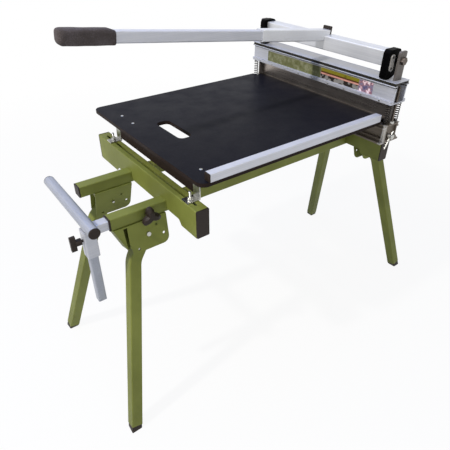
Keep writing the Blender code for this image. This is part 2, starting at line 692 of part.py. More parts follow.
def build_legs():
    """Four legs on their pivots, with feet, brackets and pivot bolts."""
    half = LEG_TUBE / 2 + SIDE_CLEARANCE + PLATE + GAP
    for end, side_x in (("left", -1), ("right", 1)):
        for face, side_y in (("front", -1), ("rear", 1)):
            name = face + "_" + end
            frame = leg_frame(side_x, side_y)
            pivot = axis_empty(name + "_leg_pivot", frame.translation, ORIGIN)
            pivot.rotation_euler = frame.to_euler()
            piece(name + "_leg", leg_tube(), GREEN, pivot)
            piece(name + "_foot", foot_plug(frame), BLACK, pivot)
            datum = axis_empty(name + "_bracket_datum", frame.translation, ORIGIN)
            datum.rotation_euler = frame.to_euler()
            out = math.copysign(half, frame.col[1].y * side_y)
            bracket = leg_bracket(frame, side_y < 0, math.copysign(1.0, out))
            piece(name + "_leg_bracket", bracket, GREEN, datum)
            bolt = hex_bolt("Y", BOLT_RADIUS, BOLT_HEAD, BOLT_HEAD_HEIGHT, out,
                            -out - math.copysign(BOLT_HEAD_HEIGHT, out))
            piece(name + "_pivot_bolt", bolt, ZINC, datum)


# Sliding support
def build_support():
    """Arm, socket, post, support bar and the two lock knobs."""
    arm_datum = axis_empty("arm_slide", (SOCKET_X, -RAIL_Y, RAIL_MIDDLE), ORIGIN)
    side = SOCKET_TUBE / 2
    wall = (SOCKET_TUBE - POST_TUBE) / 2 - POST_CLEARANCE
    arm = square_tube("X", ARM_TUBE, ARM_WALL, side - wall / 2, side + ARM_LENGTH)
    socket = square_tube("Z", SOCKET_TUBE, wall, -SOCKET_LENGTH / 2, SOCKET_LENGTH / 2)
    socket = moved(socket, (0.0, 0.0, SOCKET_TOP - SOCKET_LENGTH / 2))
    hole = prism("X", circle(KNOB_STUD + GAP, 24, (0.0, -KNOB_DROP)), -SOCKET_TUBE, 0.0)
    piece("extension_arm", boolean(cut(socket, hole), arm, "UNION"), ALUMINIUM, arm_datum)

    bar_rise = SOCKET_TOP + BAR_RADIUS + GAP
    post_datum = axis_empty("post_slide", (0.0, 0.0, bar_rise), arm_datum)
    post = square_tube("Z", POST_TUBE, POST_WALL, -POST_LENGTH, 0.0)
    saddle = prism("Y", circle(BAR_RADIUS - BAR_WALL / 2, 36), -POST_TUBE, POST_TUBE)
    shift = BAR_Y + RAIL_Y
    ends = (shift - BAR_LENGTH / 2, shift + BAR_LENGTH / 2)
    bar = pipe([raised("Y", circle(BAR_RADIUS, 36), end) for end in ends],
               [raised("Y", circle(BAR_RADIUS - BAR_WALL, 36), end) for end in ends])
    piece("support_bar", boolean(bar, cut(post, saddle), "UNION"), ALUMINIUM, post_datum)
    for name, end, sign in (("front", ends[0], -1), ("rear", ends[1], 1)):
        stub = circle(BAR_RADIUS - BAR_WALL - GAP, 36)
        lip = circle(BAR_RADIUS, 36)
        crown = circle(BAR_RADIUS - BAR_CAP / 2, 36)
        start = end + sign * GAP
        cap = loft([raised("Y", stub, end - sign * BAR_CAP_DEPTH), raised("Y", stub, start),
                    raised("Y", lip, start), raised("Y", lip, start + sign * BAR_CAP / 2),
                    raised("Y", crown, start + sign * BAR_CAP)])
        piece("support_bar_" + name + "_cap", cap, BLACK, post_datum)

    knob_axis = axis_empty("post_knob_axis", (0.0, 0.0, -KNOB_DROP), arm_datum)
    tip = -POST_TUBE / 2 - GAP
    seat = -side - KNOB_SHANK
    stud = circle(KNOB_STUD, 16)
    hub = circle(KNOB_HUB, 16)
    half = KNOB_WING_WIDTH / 2
    wing = rounded([(-half, -KNOB_WING), (half, -KNOB_WING), (half, KNOB_WING), (-half, KNOB_WING)],
                   [KNOB_WING_WIDTH / 2.5] * 4, 3)
    shank = loft([raised("X", stud, tip), raised("X", stud, seat), raised("X", hub, seat),
                  raised("X", hub, seat - KNOB_DEPTH * 0.6)])
    handle = prism("X", wing, seat - KNOB_DEPTH * 0.5, seat - KNOB_DEPTH)
    piece("post_knob", boolean(shank, handle, "UNION"), BLACK, knob_axis)

    arm_knob = axis_empty("arm_knob_axis", (ARM_KNOB_X, -RAIL_Y, RAIL_MIDDLE), ORIGIN)
    piece("arm_knob", lobed_knob(), BLACK, arm_knob)


def lobed_knob():
    """A three-lobed knob in front of the rail, on a stud that reaches in to the arm."""
    sides = 36

    def lobes(radius):
        places = []
        for a in (2 * math.pi * i / sides for i in range(sides)):
            reach = radius * (1 + ARM_KNOB_LOBE * math.cos(3 * (a - ARM_KNOB_TURN)))
            places.append((reach * math.cos(a), reach * math.sin(a)))
        return places

    seat = RAIL_TUBE / 2 + GAP
    base = seat + ARM_KNOB_LIFT
    stud = circle(KNOB_STUD, sides)
    collar = circle(KNOB_STUD * 2, sides)
    steps = [(stud, ARM_TUBE / 2 + GAP), (stud, seat), (collar, seat), (collar, base),
             (lobes(ARM_KNOB_RADIUS * 0.94), base), (lobes(ARM_KNOB_RADIUS), base + ARM_KNOB_DEPTH * 0.15),
             (lobes(ARM_KNOB_RADIUS), base + ARM_KNOB_DEPTH * 0.6),
             (lobes(ARM_KNOB_TOP), base + ARM_KNOB_DEPTH * 0.94),
             (lobes(ARM_KNOB_TOP * 0.8), base + ARM_KNOB_DEPTH)]
    return loft([raised("Y", outline, -reach) for outline, reach in steps])


# Table and fence
def table_brace(y):
    """A bent zinc bracket: foot on the mount with a bolt hole, upright web, flange under the table."""
    low = MOUNT_TOP + GAP
    high = TABLE_BOTTOM - GAP
    left = BRACE_X - BRACE_PLATE
    section = rounded([(left - BRACE_FOOT, low), (BRACE_X, low), (BRACE_X, high - BRACE_PLATE),
                       (BRACE_X + BRACE_TOP, high - BRACE_PLATE), (BRACE_X + BRACE_TOP, high),
                       (left, high), (left, low + BRACE_PLATE), (left - BRACE_FOOT, low + BRACE_PLATE)],
                      [0.0, BRACE_PLATE, 0.0, 0.0, 0.0, BRACE_PLATE, 0.0, 0.0], 3)
    body = prism("Y", section, y - BRACE_WIDTH / 2, y + BRACE_WIDTH / 2)
    hole = circle(BRACE_HOLE, 24, (LEFT_MOUNT_X, y))
    return cut(body, prism("Z", hole, low - BRACE_PLATE, low + 2 * BRACE_PLATE))


def build_table():
    """Table board with its slot and rib, its two brackets, the fence and its plug."""
    spring_clear = SHEAR_X - SPRING_OFFSET_X - TABLE_NOTCH / 2
    clear = UPRIGHT_INNER - TABLE_NOTCH / 4
    front_clear = SHEAR_Y - clear
    rear_clear = SHEAR_Y + clear
    outline = rounded([(TABLE_LEFT, TABLE_FRONT), (spring_clear, TABLE_FRONT), (spring_clear, front_clear),
                       (TABLE_RIGHT, front_clear), (TABLE_RIGHT, rear_clear), (spring_clear, rear_clear),
                       (spring_clear, TABLE_BACK), (TABLE_LEFT, TABLE_BACK)],
                      [TABLE_CORNER, 0.0, 0.0, 0.0, 0.0, 0.0, 0.0, TABLE_CORNER], 6)
    board = prism("Z", outline, TABLE_BOTTOM, TABLE_TOP)
    slot = rectangle(SLOT_LEFT, SLOT_FRONT, SLOT_RIGHT, SLOT_BACK, SLOT_CORNER, 6)
    under = TABLE_BOTTOM - TABLE_THICK
    over = TABLE_TOP + TABLE_THICK
    board = cut(board, prism("Z", slot, under, over))
    rib_left = BRACE_X - BRACE_PLATE
    rib_margin = BRACE_WIDTH / 2 + GAP
    rib = block((rib_left, FRONT_BRACE_Y + rib_margin, TABLE_BOTTOM - RIB_DEPTH),
                (rib_left + RIB_THICK, REAR_BRACE_Y - rib_margin, TABLE_BOTTOM + TABLE_THICK / 2))
    piece("table", boolean(board, rib, "UNION"), TABLE_BLACK, ORIGIN)
    piece("front_table_bracket", table_brace(FRONT_BRACE_Y), ZINC, ORIGIN)
    piece("rear_table_bracket", table_brace(REAR_BRACE_Y), ZINC, ORIGIN)

    fence_datum = axis_empty("fence_datum", (0.0, FENCE_FRONT + FENCE_TUBE / 2,
                                             TABLE_TOP + GAP + FENCE_TUBE / 2), ORIGIN)
    fence = square_tube("X", FENCE_TUBE, FENCE_WALL, FENCE_LEFT, FENCE_RIGHT, TUBE_CORNER / 2)
    piece("fence", fence, ALUMINIUM, fence_datum)
    stub = square(FENCE_TUBE - 2 * FENCE_WALL - 2 * GAP, TUBE_CORNER / 4)
    lip = square(FENCE_TUBE, TUBE_CORNER / 2)
    start = FENCE_LEFT - GAP
    plug = loft([raised("X", stub, FENCE_LEFT + FENCE_PLUG_DEPTH), raised("X", stub, start),
                 raised("X", lip, start), raised("X", lip, start - FENCE_PLUG_LIP)])
    piece("fence_plug", plug, BLACK, fence_datum)


# Shear
def beam_section(height, foot_width, foot):
    """Outline of a beam with lips: a foot, set-back sides and a groove along each upper lip."""
    lip = BEAM_WIDTH / 2
    side = lip - BEAM_RECESS
    groove = lip - GROOVE_DEPTH
    rim = height - LIP_RIM
    low = rim - LIP_GROOVE
    right = [(foot_width / 2, 0.0), (foot_width / 2, foot), (lip, foot), (lip, foot + LIP_BOTTOM),
             (side, foot + LIP_BOTTOM), (side, height - LIP_TOP), (lip, height - LIP_TOP),
             (lip, low), (groove, low + GROOVE_FLANK), (groove, rim), (lip, rim), (lip, height)]
    if foot <= 0.0:
        right = right[2:]
    return right + [(-a, b) for a, b in reversed(right)]


def beam(height, foot_width=BEAM_WIDTH, foot=0.0):
    """A hollow beam along Y about the shear's middle."""
    back = BEAM_LENGTH / 2
    room = BEAM_WIDTH / 2 - BEAM_RECESS - BEAM_WALL
    body = prism("Y", beam_section(height, foot_width, foot), -back, back)
    floor = foot + BEAM_WALL
    hollow = prism("Y", rectangle(-room, floor, room, height - BEAM_WALL), -2 * back, 2 * back)
    return cut(body, hollow)


def upright_slots(clearance, low, high):
    """Cutters for both uprights."""
    half = UPRIGHT_WIDTH / 2 + clearance
    return [block((-half, side * UPRIGHT_OFFSET - UPRIGHT_THICK / 2 - clearance, low),
                  (half, side * UPRIGHT_OFFSET + UPRIGHT_THICK / 2 + clearance, high)) for side in (-1, 1)]


def rod_holes(clearance, low, high):
    """Cutters for both guide rods."""
    return [prism("Z", circle(ROD_RADIUS + clearance, 24, (0.0, side * ROD_OFFSET)), low, high)
            for side in (-1, 1)]


def return_spring(name, spot, datum):
    """A coil spring between the beams: one unbroken wire with upright ends."""
    low = GAP
    high = UPPER_BOTTOM - LOWER_TOP - GAP
    straight = 2 * SPRING_WIRE
    count = SPRING_TURNS * SPRING_POINTS
    climb = (high - low - 2 * straight) / count
    points = []
    for i in range(count + 1):
        a = 2 * math.pi * i / SPRING_POINTS
        points.append((SPRING_RADIUS * math.cos(a), SPRING_RADIUS * math.sin(a), low + straight + climb * i))
    points.insert(0, (*points[0][:2], low))
    points.append((*points[-1][:2], high))
    curve = bpy.data.curves.new(name, "CURVE")
    curve.dimensions = "3D"
    curve.bevel_depth = SPRING_WIRE
    curve.bevel_resolution = 1
    curve.use_fill_caps = True
    curve.materials.append(SPRING)
    spline = curve.splines.new("POLY")
    spline.points.add(len(points) - 1)
    for knot, point in zip(spline.points, points):
        knot.co = (*point, 1.0)
    print(name, "least gap between turns, mm:", round((climb * SPRING_POINTS - 2 * SPRING_WIRE) / MM, 2))
    body = bpy.data.objects.new(name, curve)
    body.parent = datum
    body.location = spot
    bpy.context.scene.collection.objects.link(body)


def build_lower_shear():
    """Lower beam with the clamp's plate, anvil, uprights, guide rods, springs and pivot bolts."""
    shear = axis_empty("shear_datum", (SHEAR_X, SHEAR_Y, LOWER_BOTTOM), ORIGIN)
    back = BEAM_LENGTH / 2
    web = BEAM_WIDTH / 2 - BEAM_RECESS
    groove_low = FOOT_FLANGE + LIP_BOTTOM
    groove_high = LOWER_HEIGHT - LIP_TOP
    bite = BEAM_WALL / 2
    plate_face = CLAMP_PLATE_SET - back
    block_left = BLOCK_SET - BEAM_WIDTH / 2
    end_block = block((block_left, -back, groove_low - bite), (bite - web, END_BLOCK - back, groove_high + bite))
    plate = block((bite - web, plate_face, groove_low - LIP_BOTTOM + bite),
                  (web - bite, plate_face + CLAMP_PLATE, LOWER_HEIGHT - bite))
    hole = prism("Y", circle(CLAMP_SCREW + GAP, 16, (CLAMP_X, CLAMP_RISE)), -2 * back,
                 plate_face + 2 * CLAMP_PLATE)
    lower = boolean(beam(LOWER_HEIGHT, FOOT_WIDTH, FOOT_FLANGE), end_block, "UNION")
    lower = boolean(lower, plate, "UNION")
    lower = cut(lower, hole, *upright_slots(GAP, LOWER_HEIGHT / 2, 2 * LOWER_HEIGHT))
    piece("lower_beam", lower, ALUMINIUM, shear)
    cut_end = BLADE_LENGTH / 2
    anvil_low = LOWER_HEIGHT + GAP
    piece("anvil_bar", block((ANVIL_LEFT, -cut_end, anvil_low),
                             (ANVIL_RIGHT, cut_end, anvil_low + TABLE_THICK)), STEEL, shear)

    pivot = LEVER_Z - LOWER_BOTTOM
    top = pivot + UPRIGHT_TOP
    seat = FOOT_FLANGE + BEAM_WALL + GAP
    width = UPRIGHT_WIDTH / 2
    corner = width * 0.35
    spring_datum = axis_empty("spring_datum", (0.0, 0.0, LOWER_HEIGHT), shear)
    for name, side in (("front", -1), ("rear", 1)):
        face = rounded([(-width, seat), (width, seat), (width, top), (-width, top)],
                       [0.0, 0.0, corner, corner], 4)
        bar = prism("Y", face, side * UPRIGHT_INNER, side * UPRIGHT_OUTER)
        hole = prism("Y", circle(PIVOT_RADIUS + GAP, 24, (0.0, pivot)), side * UPRIGHT_INNER / 2,
                     side * UPRIGHT_OUTER * 2)
        piece(name + "_upright", cut(bar, hole), ALUMINIUM, shear)
        bolt = hex_bolt("Y", PIVOT_RADIUS, PIVOT_HEAD, PIVOT_HEAD_HEIGHT, side * (UPRIGHT_OUTER + GAP),
                        side * (CAM_OUTER - PIVOT_DEPTH))
        piece(name + "_pivot_bolt", moved(bolt, (0.0, 0.0, pivot)), ZINC, shear)
        spot = (0.0, side * ROD_OFFSET)
        foot = LOWER_HEIGHT + GAP
        rings = ((ROD_NUT, foot), (ROD_NUT, foot + ROD_NUT_HEIGHT), (ROD_RADIUS, foot + ROD_NUT_HEIGHT),
                 (ROD_RADIUS, foot + ROD_HEIGHT))
        rod = loft([raised("Z", circle(radius, 24, spot), z) for radius, z in rings])
        piece(name + "_guide_rod", rod, STEEL, shear)
        for hand, shift in (("left", -SPRING_OFFSET_X), ("right", SPRING_OFFSET_X)):
            return_spring(name + "_" + hand + "_spring", (shift, side * SPRING_OFFSET_Y, 0.0), spring_datum)
    build_clamp(shear)


def build_clamp(shear):
    """Clamp screw in the plate inside the front end, with a bar fixed through its head."""
    clamp = axis_empty("clamp_axis", (CLAMP_X, CLAMP_PLATE_SET - BEAM_LENGTH / 2, CLAMP_RISE), shear)
    head = -GAP
    face = head - CLAMP_HEAD_LENGTH
    screw = loft([raised("Y", circle(CLAMP_SCREW), CLAMP_SCREW_LENGTH), raised("Y", circle(CLAMP_SCREW), head),
                  raised("Y", circle(CLAMP_HEAD), head), raised("Y", circle(CLAMP_HEAD), face)])
    middle = face + CLAMP_HEAD
    tilt = Matrix.Translation((0.0, middle, 0.0)) @ Matrix.Rotation(-CLAMP_BAR_ANGLE, 4, "Y")
    reach = (-CLAMP_BAR_LENGTH / 2 - CLAMP_BAR_SHIFT, CLAMP_BAR_LENGTH / 2 - CLAMP_BAR_SHIFT)
    bar = turned(prism("X", circle(CLAMP_BAR, 16), *reach), tilt)
    piece("clamp_screw", boolean(screw, bar, "UNION"), ZINC, clamp)


def build_upper_shear():
    """Upper beam that slides on the uprights, and the blade let into it."""
    guide = axis_empty("blade_guide", (SHEAR_X, SHEAR_Y, UPPER_BOTTOM), ORIGIN)
    blade_half = BLADE_LENGTH / 2
    seat = BLADE_SEAT + GAP
    side = BLADE_THICK / 2
    groove = block((-side - GAP, -blade_half - GAP, -seat), (side + GAP, blade_half + GAP, seat))
    body = cut(beam(UPPER_HEIGHT), *upright_slots(SIDE_CLEARANCE, -UPPER_HEIGHT, 2 * UPPER_HEIGHT))
    body = cut(body, groove, *rod_holes(SIDE_CLEARANCE, -BEAM_WALL, 2 * BEAM_WALL))
    piece("upper_beam", body, ALUMINIUM, guide)
    edge = JAW - BEAM_OPENING
    section = [(-side, BLADE_SEAT), (-side, edge), (BLADE_EDGE - side, edge), (side, edge + BLADE_BEVEL),
               (side, BLADE_SEAT)]
    piece("blade", prism("Y", section, -blade_half, blade_half), STEEL, guide)


# Lever and cams
def cam_outline():
    """Face of a cam about its pivot. Its reach below the pivot shrinks by BEAM_RISE for each radian that
    the lever is raised, so the flat beam under it rises at an even rate and always touches it."""
    reach = PIVOT_RISE - GAP
    lobe = []
    for step in range(CAM_STEPS + 1):
        a = CAM_LAST + (CAM_FIRST - CAM_LAST) * step / CAM_STEPS
        support = reach - BEAM_RISE * a
        lobe.append((support * math.sin(a) - BEAM_RISE * math.cos(a),
                     -support * math.cos(a) - BEAM_RISE * math.sin(a)))
    rise = (CAM_RIGHT - lobe[0][0]) * math.tan(CAM_LAST)
    heel = (-CAM_LEFT, lobe[-1][1] + CAM_CORNER / 2)
    points = [(-CAM_LEFT, CAM_TOP), heel, *reversed(lobe), (CAM_RIGHT, lobe[0][1] + rise),
              (CAM_RIGHT, CAM_TOP)]
    radii = [CAM_CORNER, CAM_CORNER / 2] + [0.0] * (CAM_STEPS + 2) + [CAM_CORNER]
    return rounded(points, radii, 5)


def cam(side):
    """A cam with a boss towards its upright and a blind bore for the pivot bolt."""
    boss = circle(BOSS_RADIUS)
    body = prism("Y", cam_outline(), side * CAM_INNER, side * CAM_OUTER)
    reach = prism("Y", boss, side * CAM_OFFSET, side * (UPRIGHT_INNER - GAP))
    bore = prism("Y", circle(PIVOT_RADIUS + GAP), side * (CAM_OUTER - PIVOT_DEPTH - GAP), side * CAM_OUTER * 2)
    return cut(boolean(body, reach, "UNION"), bore)


def cam_plate(side):
    """A round-ended steel plate with two holes, on the cam's outer face."""
    half = CAM_PLATE_WIDTH / 2
    straight = CAM_PLATE_LENGTH / 2
    start = side * (CAM_OUTER + GAP)
    end = start + side * CAM_PLATE_THICK
    face = rectangle(CAM_PLATE_X - half, CAM_PLATE_Z - straight, CAM_PLATE_X + half, CAM_PLATE_Z + straight,
                     half * 0.98, 6)
    holes = [prism("Y", circle(CAM_PLATE_HOLE, 16, (CAM_PLATE_X, CAM_PLATE_Z + z)), start / 2, 2 * end)
             for z in (half - straight, straight - half)]
    return cut(prism("Y", face, start, end), *holes)


def shaft_space(side):
    """A square bar along the cam shaft, longer than the sleeve is wide."""
    half = side / 2
    return prism("Y", rectangle(-half, -half, half, half, TUBE_CORNER), -SLEEVE_END, SLEEVE_END)


def build_lever():
    """Cam shaft with the lever's sleeve welded on, cams, cam plates, plug, lever tube and grip."""
    axis = axis_empty("lever_axis", (SHEAR_X, SHEAR_Y, LEVER_Z), ORIGIN)
    tilt = Matrix.Rotation(math.pi + LEVER_SLOPE, 4, "Y") @ Matrix.Translation((0.0, 0.0, -LEVER_OFFSET))
    size = LEVER_TUBE + 2 * GAP + 2 * SLEEVE_WALL
    sleeve = turned(square_tube("X", size, SLEEVE_WALL, SLEEVE_START, SLEEVE_END), tilt)
    sleeve = cut(sleeve, shaft_space(SHAFT_TUBE - SHAFT_WALL))
    shaft_end = CAM_INNER - GAP
    shaft = square_tube("Y", SHAFT_TUBE, SHAFT_WALL, -shaft_end, shaft_end)
    piece("cam_shaft", boolean(shaft, sleeve, "UNION"), ALUMINIUM, axis)
    for name, side in (("front", -1), ("rear", 1)):
        piece(name + "_cam", cam(side), NYLON, axis)
        piece(name + "_cam_plate", cam_plate(side), ZINC, axis)

    plug_end = SLEEVE_START - GAP
    face = rectangle(-size / 2, -size / 2 - SLEEVE_PLUG_PROUD, size / 2, size / 2, TUBE_CORNER)
    plug = turned(prism("X", face, plug_end - SLEEVE_PLUG_THICK, plug_end), tilt)
    piece("sleeve_plug", cut(plug, shaft_space(SHAFT_TUBE + 2 * GAP)), BLACK, axis)
    tube = turned(square_tube("X", LEVER_TUBE, LEVER_WALL, LEVER_START, LEVER_END), tilt)
    piece("lever_tube", tube, ALUMINIUM, axis)
    end = square(GRIP_SIZE - 2 * GRIP_ROUND, GRIP_CORNER / 3, 4)
    full = square(GRIP_SIZE, GRIP_CORNER, 4)
    nearly = square(GRIP_SIZE - GRIP_ROUND * 0.6, GRIP_CORNER * 0.8, 4)
    grip = loft([raised("X", nearly, GRIP_START), raised("X", full, GRIP_START + GRIP_ROUND),
                 raised("X", full, GRIP_END - GRIP_ROUND), raised("X", nearly, GRIP_END - GRIP_ROUND * 0.3),
                 raised("X", end, GRIP_END)])
    room = prism("X", square(LEVER_TUBE + 2 * GAP, TUBE_CORNER), LEVER_START, LEVER_END + GAP)
    piece("foam_grip", turned(cut(grip, room), tilt), FOAM, axis)


def centre_on_origin():
    """Sets the stand on the floor with the middle of its bounding box over the origin."""
    graph = bpy.context.evaluated_depsgraph_get()
    places = []
    for body in bpy.data.objects:
        if body.type in {"MESH", "CURVE"}:
            shape = body.evaluated_get(graph)
            places += [shape.matrix_world @ vertex.co for vertex in shape.to_mesh().vertices]
            shape.to_mesh_clear()
    for index in range(2):
        values = [place[index] for place in places]
        ORIGIN.location[index] -= (min(values) + max(values)) / 2
    bpy.context.view_layer.update()


build_rails()
build_mounts()
build_legs()
build_support()
build_table()
build_lower_shear()
build_upper_shear()
build_lever()
centre_on_origin()
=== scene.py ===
# %% [markdown]
# # A folding shear stand, dressed for the camera
#
# The solids of this stand come in as a fixed frame. Everything below gives them their surfaces and adds what
# is too small or too soft for a solid: screws, threads, coils, a foam grip, printed films on the beam.
# Each step is a cell, so the file can be read and run from top to bottom like a lesson.

import json
import math

import bmesh
import bpy
from mathutils import Matrix, Vector


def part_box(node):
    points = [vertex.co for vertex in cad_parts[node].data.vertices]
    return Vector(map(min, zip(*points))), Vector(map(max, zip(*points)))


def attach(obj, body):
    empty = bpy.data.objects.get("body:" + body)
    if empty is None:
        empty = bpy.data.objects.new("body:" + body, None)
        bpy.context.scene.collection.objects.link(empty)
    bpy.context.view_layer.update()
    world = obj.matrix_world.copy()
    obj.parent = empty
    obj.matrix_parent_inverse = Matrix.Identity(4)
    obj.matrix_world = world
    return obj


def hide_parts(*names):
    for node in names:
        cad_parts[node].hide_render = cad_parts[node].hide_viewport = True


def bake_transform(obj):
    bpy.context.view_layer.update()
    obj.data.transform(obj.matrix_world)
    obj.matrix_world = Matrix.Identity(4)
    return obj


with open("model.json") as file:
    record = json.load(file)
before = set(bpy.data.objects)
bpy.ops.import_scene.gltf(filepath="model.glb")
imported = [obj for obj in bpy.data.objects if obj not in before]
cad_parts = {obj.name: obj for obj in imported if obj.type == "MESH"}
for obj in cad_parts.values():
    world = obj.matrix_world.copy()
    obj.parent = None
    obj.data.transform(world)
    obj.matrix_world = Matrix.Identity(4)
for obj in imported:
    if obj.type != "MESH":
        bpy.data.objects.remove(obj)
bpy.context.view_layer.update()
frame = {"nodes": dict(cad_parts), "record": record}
nodes = frame["nodes"]
MM = 0.001
feet = [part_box(name) for name in nodes if name.endswith("_foot")]
FEET = Vector((min(low.x for low, high in feet) + max(high.x for low, high in feet),
               min(low.y for low, high in feet) + max(high.y for low, high in feet), 0.0)) / 2


def spot(x, y, z):
    """A place given in millimetres from the middle of the feet, in the frame's metres."""
    return FEET + Vector((x, y, z)) * MM


# %% [markdown]
# ## Colours and shader nodes
#
# Colours are easiest to pick as the eye sees them, in sRGB. Blender works in linear light, so one function
# turns a hex value to linear. One more function adds a shader node with its settings, its links and, for a
# colour ramp, its stops. With it a material reads as a short list of what feeds what.


# %% Colour and node helpers
def colour(hex_value):
    """Linear RGBA of an sRGB hex value such as 76823f."""
    channels = [int(hex_value[i:i + 2], 16) / 255 for i in (0, 2, 4)]
    linear = [c / 12.92 if c <= 0.04045 else ((c + 0.055) / 1.055) ** 2.4 for c in channels]
    return (*linear, 1.0)


def add(tree, kind, inputs=None, stops=(), **settings):
    """A node of one kind. Its inputs are values, or outputs to link. Stops are places and hex colours."""
    made = tree.nodes.new(kind)
    for name, value in settings.items():
        setattr(made, name, value)
    for socket, value in (inputs or {}).items():
        if isinstance(value, bpy.types.NodeSocket):
            tree.links.new(value, made.inputs[socket])
        else:
            made.inputs[socket].default_value = value
    if stops:
        while len(made.color_ramp.elements) < len(stops):
            made.color_ramp.elements.new(0.5)
        for element, (place, hex_value) in zip(made.color_ramp.elements, stops):
            element.position = place
            element.color = colour(hex_value)
    return made


def start_material(name, **sockets):
    """A material with a Principled shader; returns the material, its tree and the shader."""
    material = bpy.data.materials.new(name)
    material.use_nodes = True
    shader = material.node_tree.nodes["Principled BSDF"]
    for socket, value in sockets.items():
        shader.inputs[socket.replace("_", " ")].default_value = value
    return material, material.node_tree, shader


print("orange peel at 6 mm is a noise scale of", round(1 / (6 * MM)))

# %% [markdown]
# ## Camera
#
# The picture was taken from the left front, looking down at about 35 degrees. The camera's place and its
# directions were worked out from the stand's parallel edges and its four feet, so here they are only written
# down. A square picture on a 36 mm sensor takes a lens of just under 35 mm.

# %% Camera
CAMERA_PLACE = spot(-990.2, -1121.1, 1432.5)
LOOK = Vector((0.496, 0.649, -0.577)).normalized()
SIDE = Vector((0.799, -0.602, 0.010)).normalized()
LENS_MM, SENSOR_MM = 34.875, 36.0
NEAREST = 0.05

camera_data = bpy.data.cameras.new("camera")
camera_data.lens = LENS_MM
camera_data.sensor_width = SENSOR_MM
camera_data.clip_start = NEAREST
camera = bpy.data.objects.new("camera", camera_data)
bpy.context.scene.collection.objects.link(camera)
upward = SIDE.cross(LOOK).normalized()
side = LOOK.cross(upward)
turn = Matrix((side, upward, -LOOK)).transposed()
camera.matrix_world = Matrix.Translation(CAMERA_PLACE) @ turn.to_4x4()
bpy.context.scene.camera = camera
print("camera", [round(v, 3) for v in CAMERA_PLACE])

# %% [markdown]
# ## Light and floor
#
# A studio for a product on white. The main light hangs high on the left and is small enough for the lever to
# throw its shadow on the beam. A weaker one fills the front, and a wide blue one overhead cools what faces
# up. The surround is white for the camera and in reflections, and dimmer as a light, so that colours come out
# about as they are written. The floor is pale, keeps the shadow, and turns to plain white further out.

# %% World
SURROUND = 0.32
world = bpy.data.worlds.new("studio")
bpy.context.scene.world = world
world.use_nodes = True
sky = world.node_tree
sky.nodes.clear()


def seen_rays(tree):
    """One for rays from the camera, off shiny things and through clear ones, else none."""
    rays = add(tree, "ShaderNodeLightPath").outputs
    direct = add(tree, "ShaderNodeMath", {0: rays["Is Camera Ray"], 1: rays["Is Glossy Ray"]},
                 operation="MAXIMUM")
    return add(tree, "ShaderNodeMath", {0: direct.outputs[0], 1: rays["Is Transmission Ray"]},
               operation="MAXIMUM").outputs[0]


light = add(sky, "ShaderNodeBackground", {"Color": colour("eef1fa"), "Strength": SURROUND})
white = add(sky, "ShaderNodeBackground", {"Color": colour("ffffff"), "Strength": 1.0})
choice = add(sky, "ShaderNodeMixShader", {0: seen_rays(sky), 1: light.outputs[0], 2: white.outputs[0]})
add(sky, "ShaderNodeOutputWorld", {"Surface": choice.outputs[0]})
print("surround of strength", SURROUND)

# %% Lamps
MIDDLE = spot(0, 0, 800)


def lamp(name, place, size, power, tint):
    """A square soft light that faces the middle of the stand."""
    data = bpy.data.lights.new(name, "AREA")
    data.size = size
    data.energy = power
    data.color = colour(tint)[:3]
    made = bpy.data.objects.new(name, data)
    made.location = place
    made.rotation_euler = (MIDDLE - place).to_track_quat("-Z", "Y").to_euler()
    bpy.context.scene.collection.objects.link(made)


lamp("left_light", spot(-3000, 150, 3500), size=0.2, power=112, tint="fffaf4")
lamp("front_light", spot(-600, -3600, 2200), size=2.2, power=31, tint="ffffff")
lamp("top_light", spot(-500, 1000, 4300), size=3.0, power=58, tint="79a4ff")
print("three lamps about", [round(v, 3) for v in MIDDLE])

# %% Floor
FLOOR_REACH = 40.0
SHADE_SHARE = 0.92
SHADE_END, WHITE_START = 1.2, 3.4
half = FLOOR_REACH / 2
floor_mesh = bpy.data.meshes.new("floor")
corners = [(-half, -half, 0), (half, -half, 0), (half, half, 0), (-half, half, 0)]
floor_mesh.from_pydata(corners, [], [(0, 1, 2, 3)])
floor = bpy.data.objects.new("floor", floor_mesh)
bpy.context.scene.collection.objects.link(floor)
paper, tree, shader = start_material("matt_paper", Base_Color=colour("f3f3f1"), Roughness=0.9)
glow = add(tree, "ShaderNodeEmission", {"Color": colour("ffffff"), "Strength": 1.0})
place = add(tree, "ShaderNodeTexCoord").outputs["Object"]
far = add(tree, "ShaderNodeVectorMath", {0: place}, operation="LENGTH")
share = add(tree, "ShaderNodeMapRange", {"Value": far.outputs["Value"], "From Min": SHADE_END,
                                         "From Max": WHITE_START, "To Min": SHADE_SHARE, "To Max": 1.0})
share = add(tree, "ShaderNodeMath", {0: seen_rays(tree), 1: share.outputs["Result"]}, operation="MULTIPLY")
blend = add(tree, "ShaderNodeMixShader", {0: share.outputs[0], 1: shader.outputs[0], 2: glow.outputs[0]})
tree.links.new(blend.outputs[0], tree.nodes["Material Output"].inputs["Surface"])
floor_mesh.materials.append(paper)
bpy.context.scene.view_settings.view_transform = "Standard"
print("a floor", FLOOR_REACH, "m wide")

# %% [markdown]
# ## Powder-coated steel
#
# Rails, legs, brackets and mounts are bent steel tube and plate with an olive powder coat. Powder melts into
# a skin that is a little lumpy, like orange peel, with a satin gloss. Over an arm's length its colour drifts
# a touch, and handling leaves faint pale scuffs. A picture of paint could be wrapped round each piece. Noise
# has no seams and needs no unwrapping, so it is used here. The lumps are about 2 mm on the real one; 6 mm
# shows here.

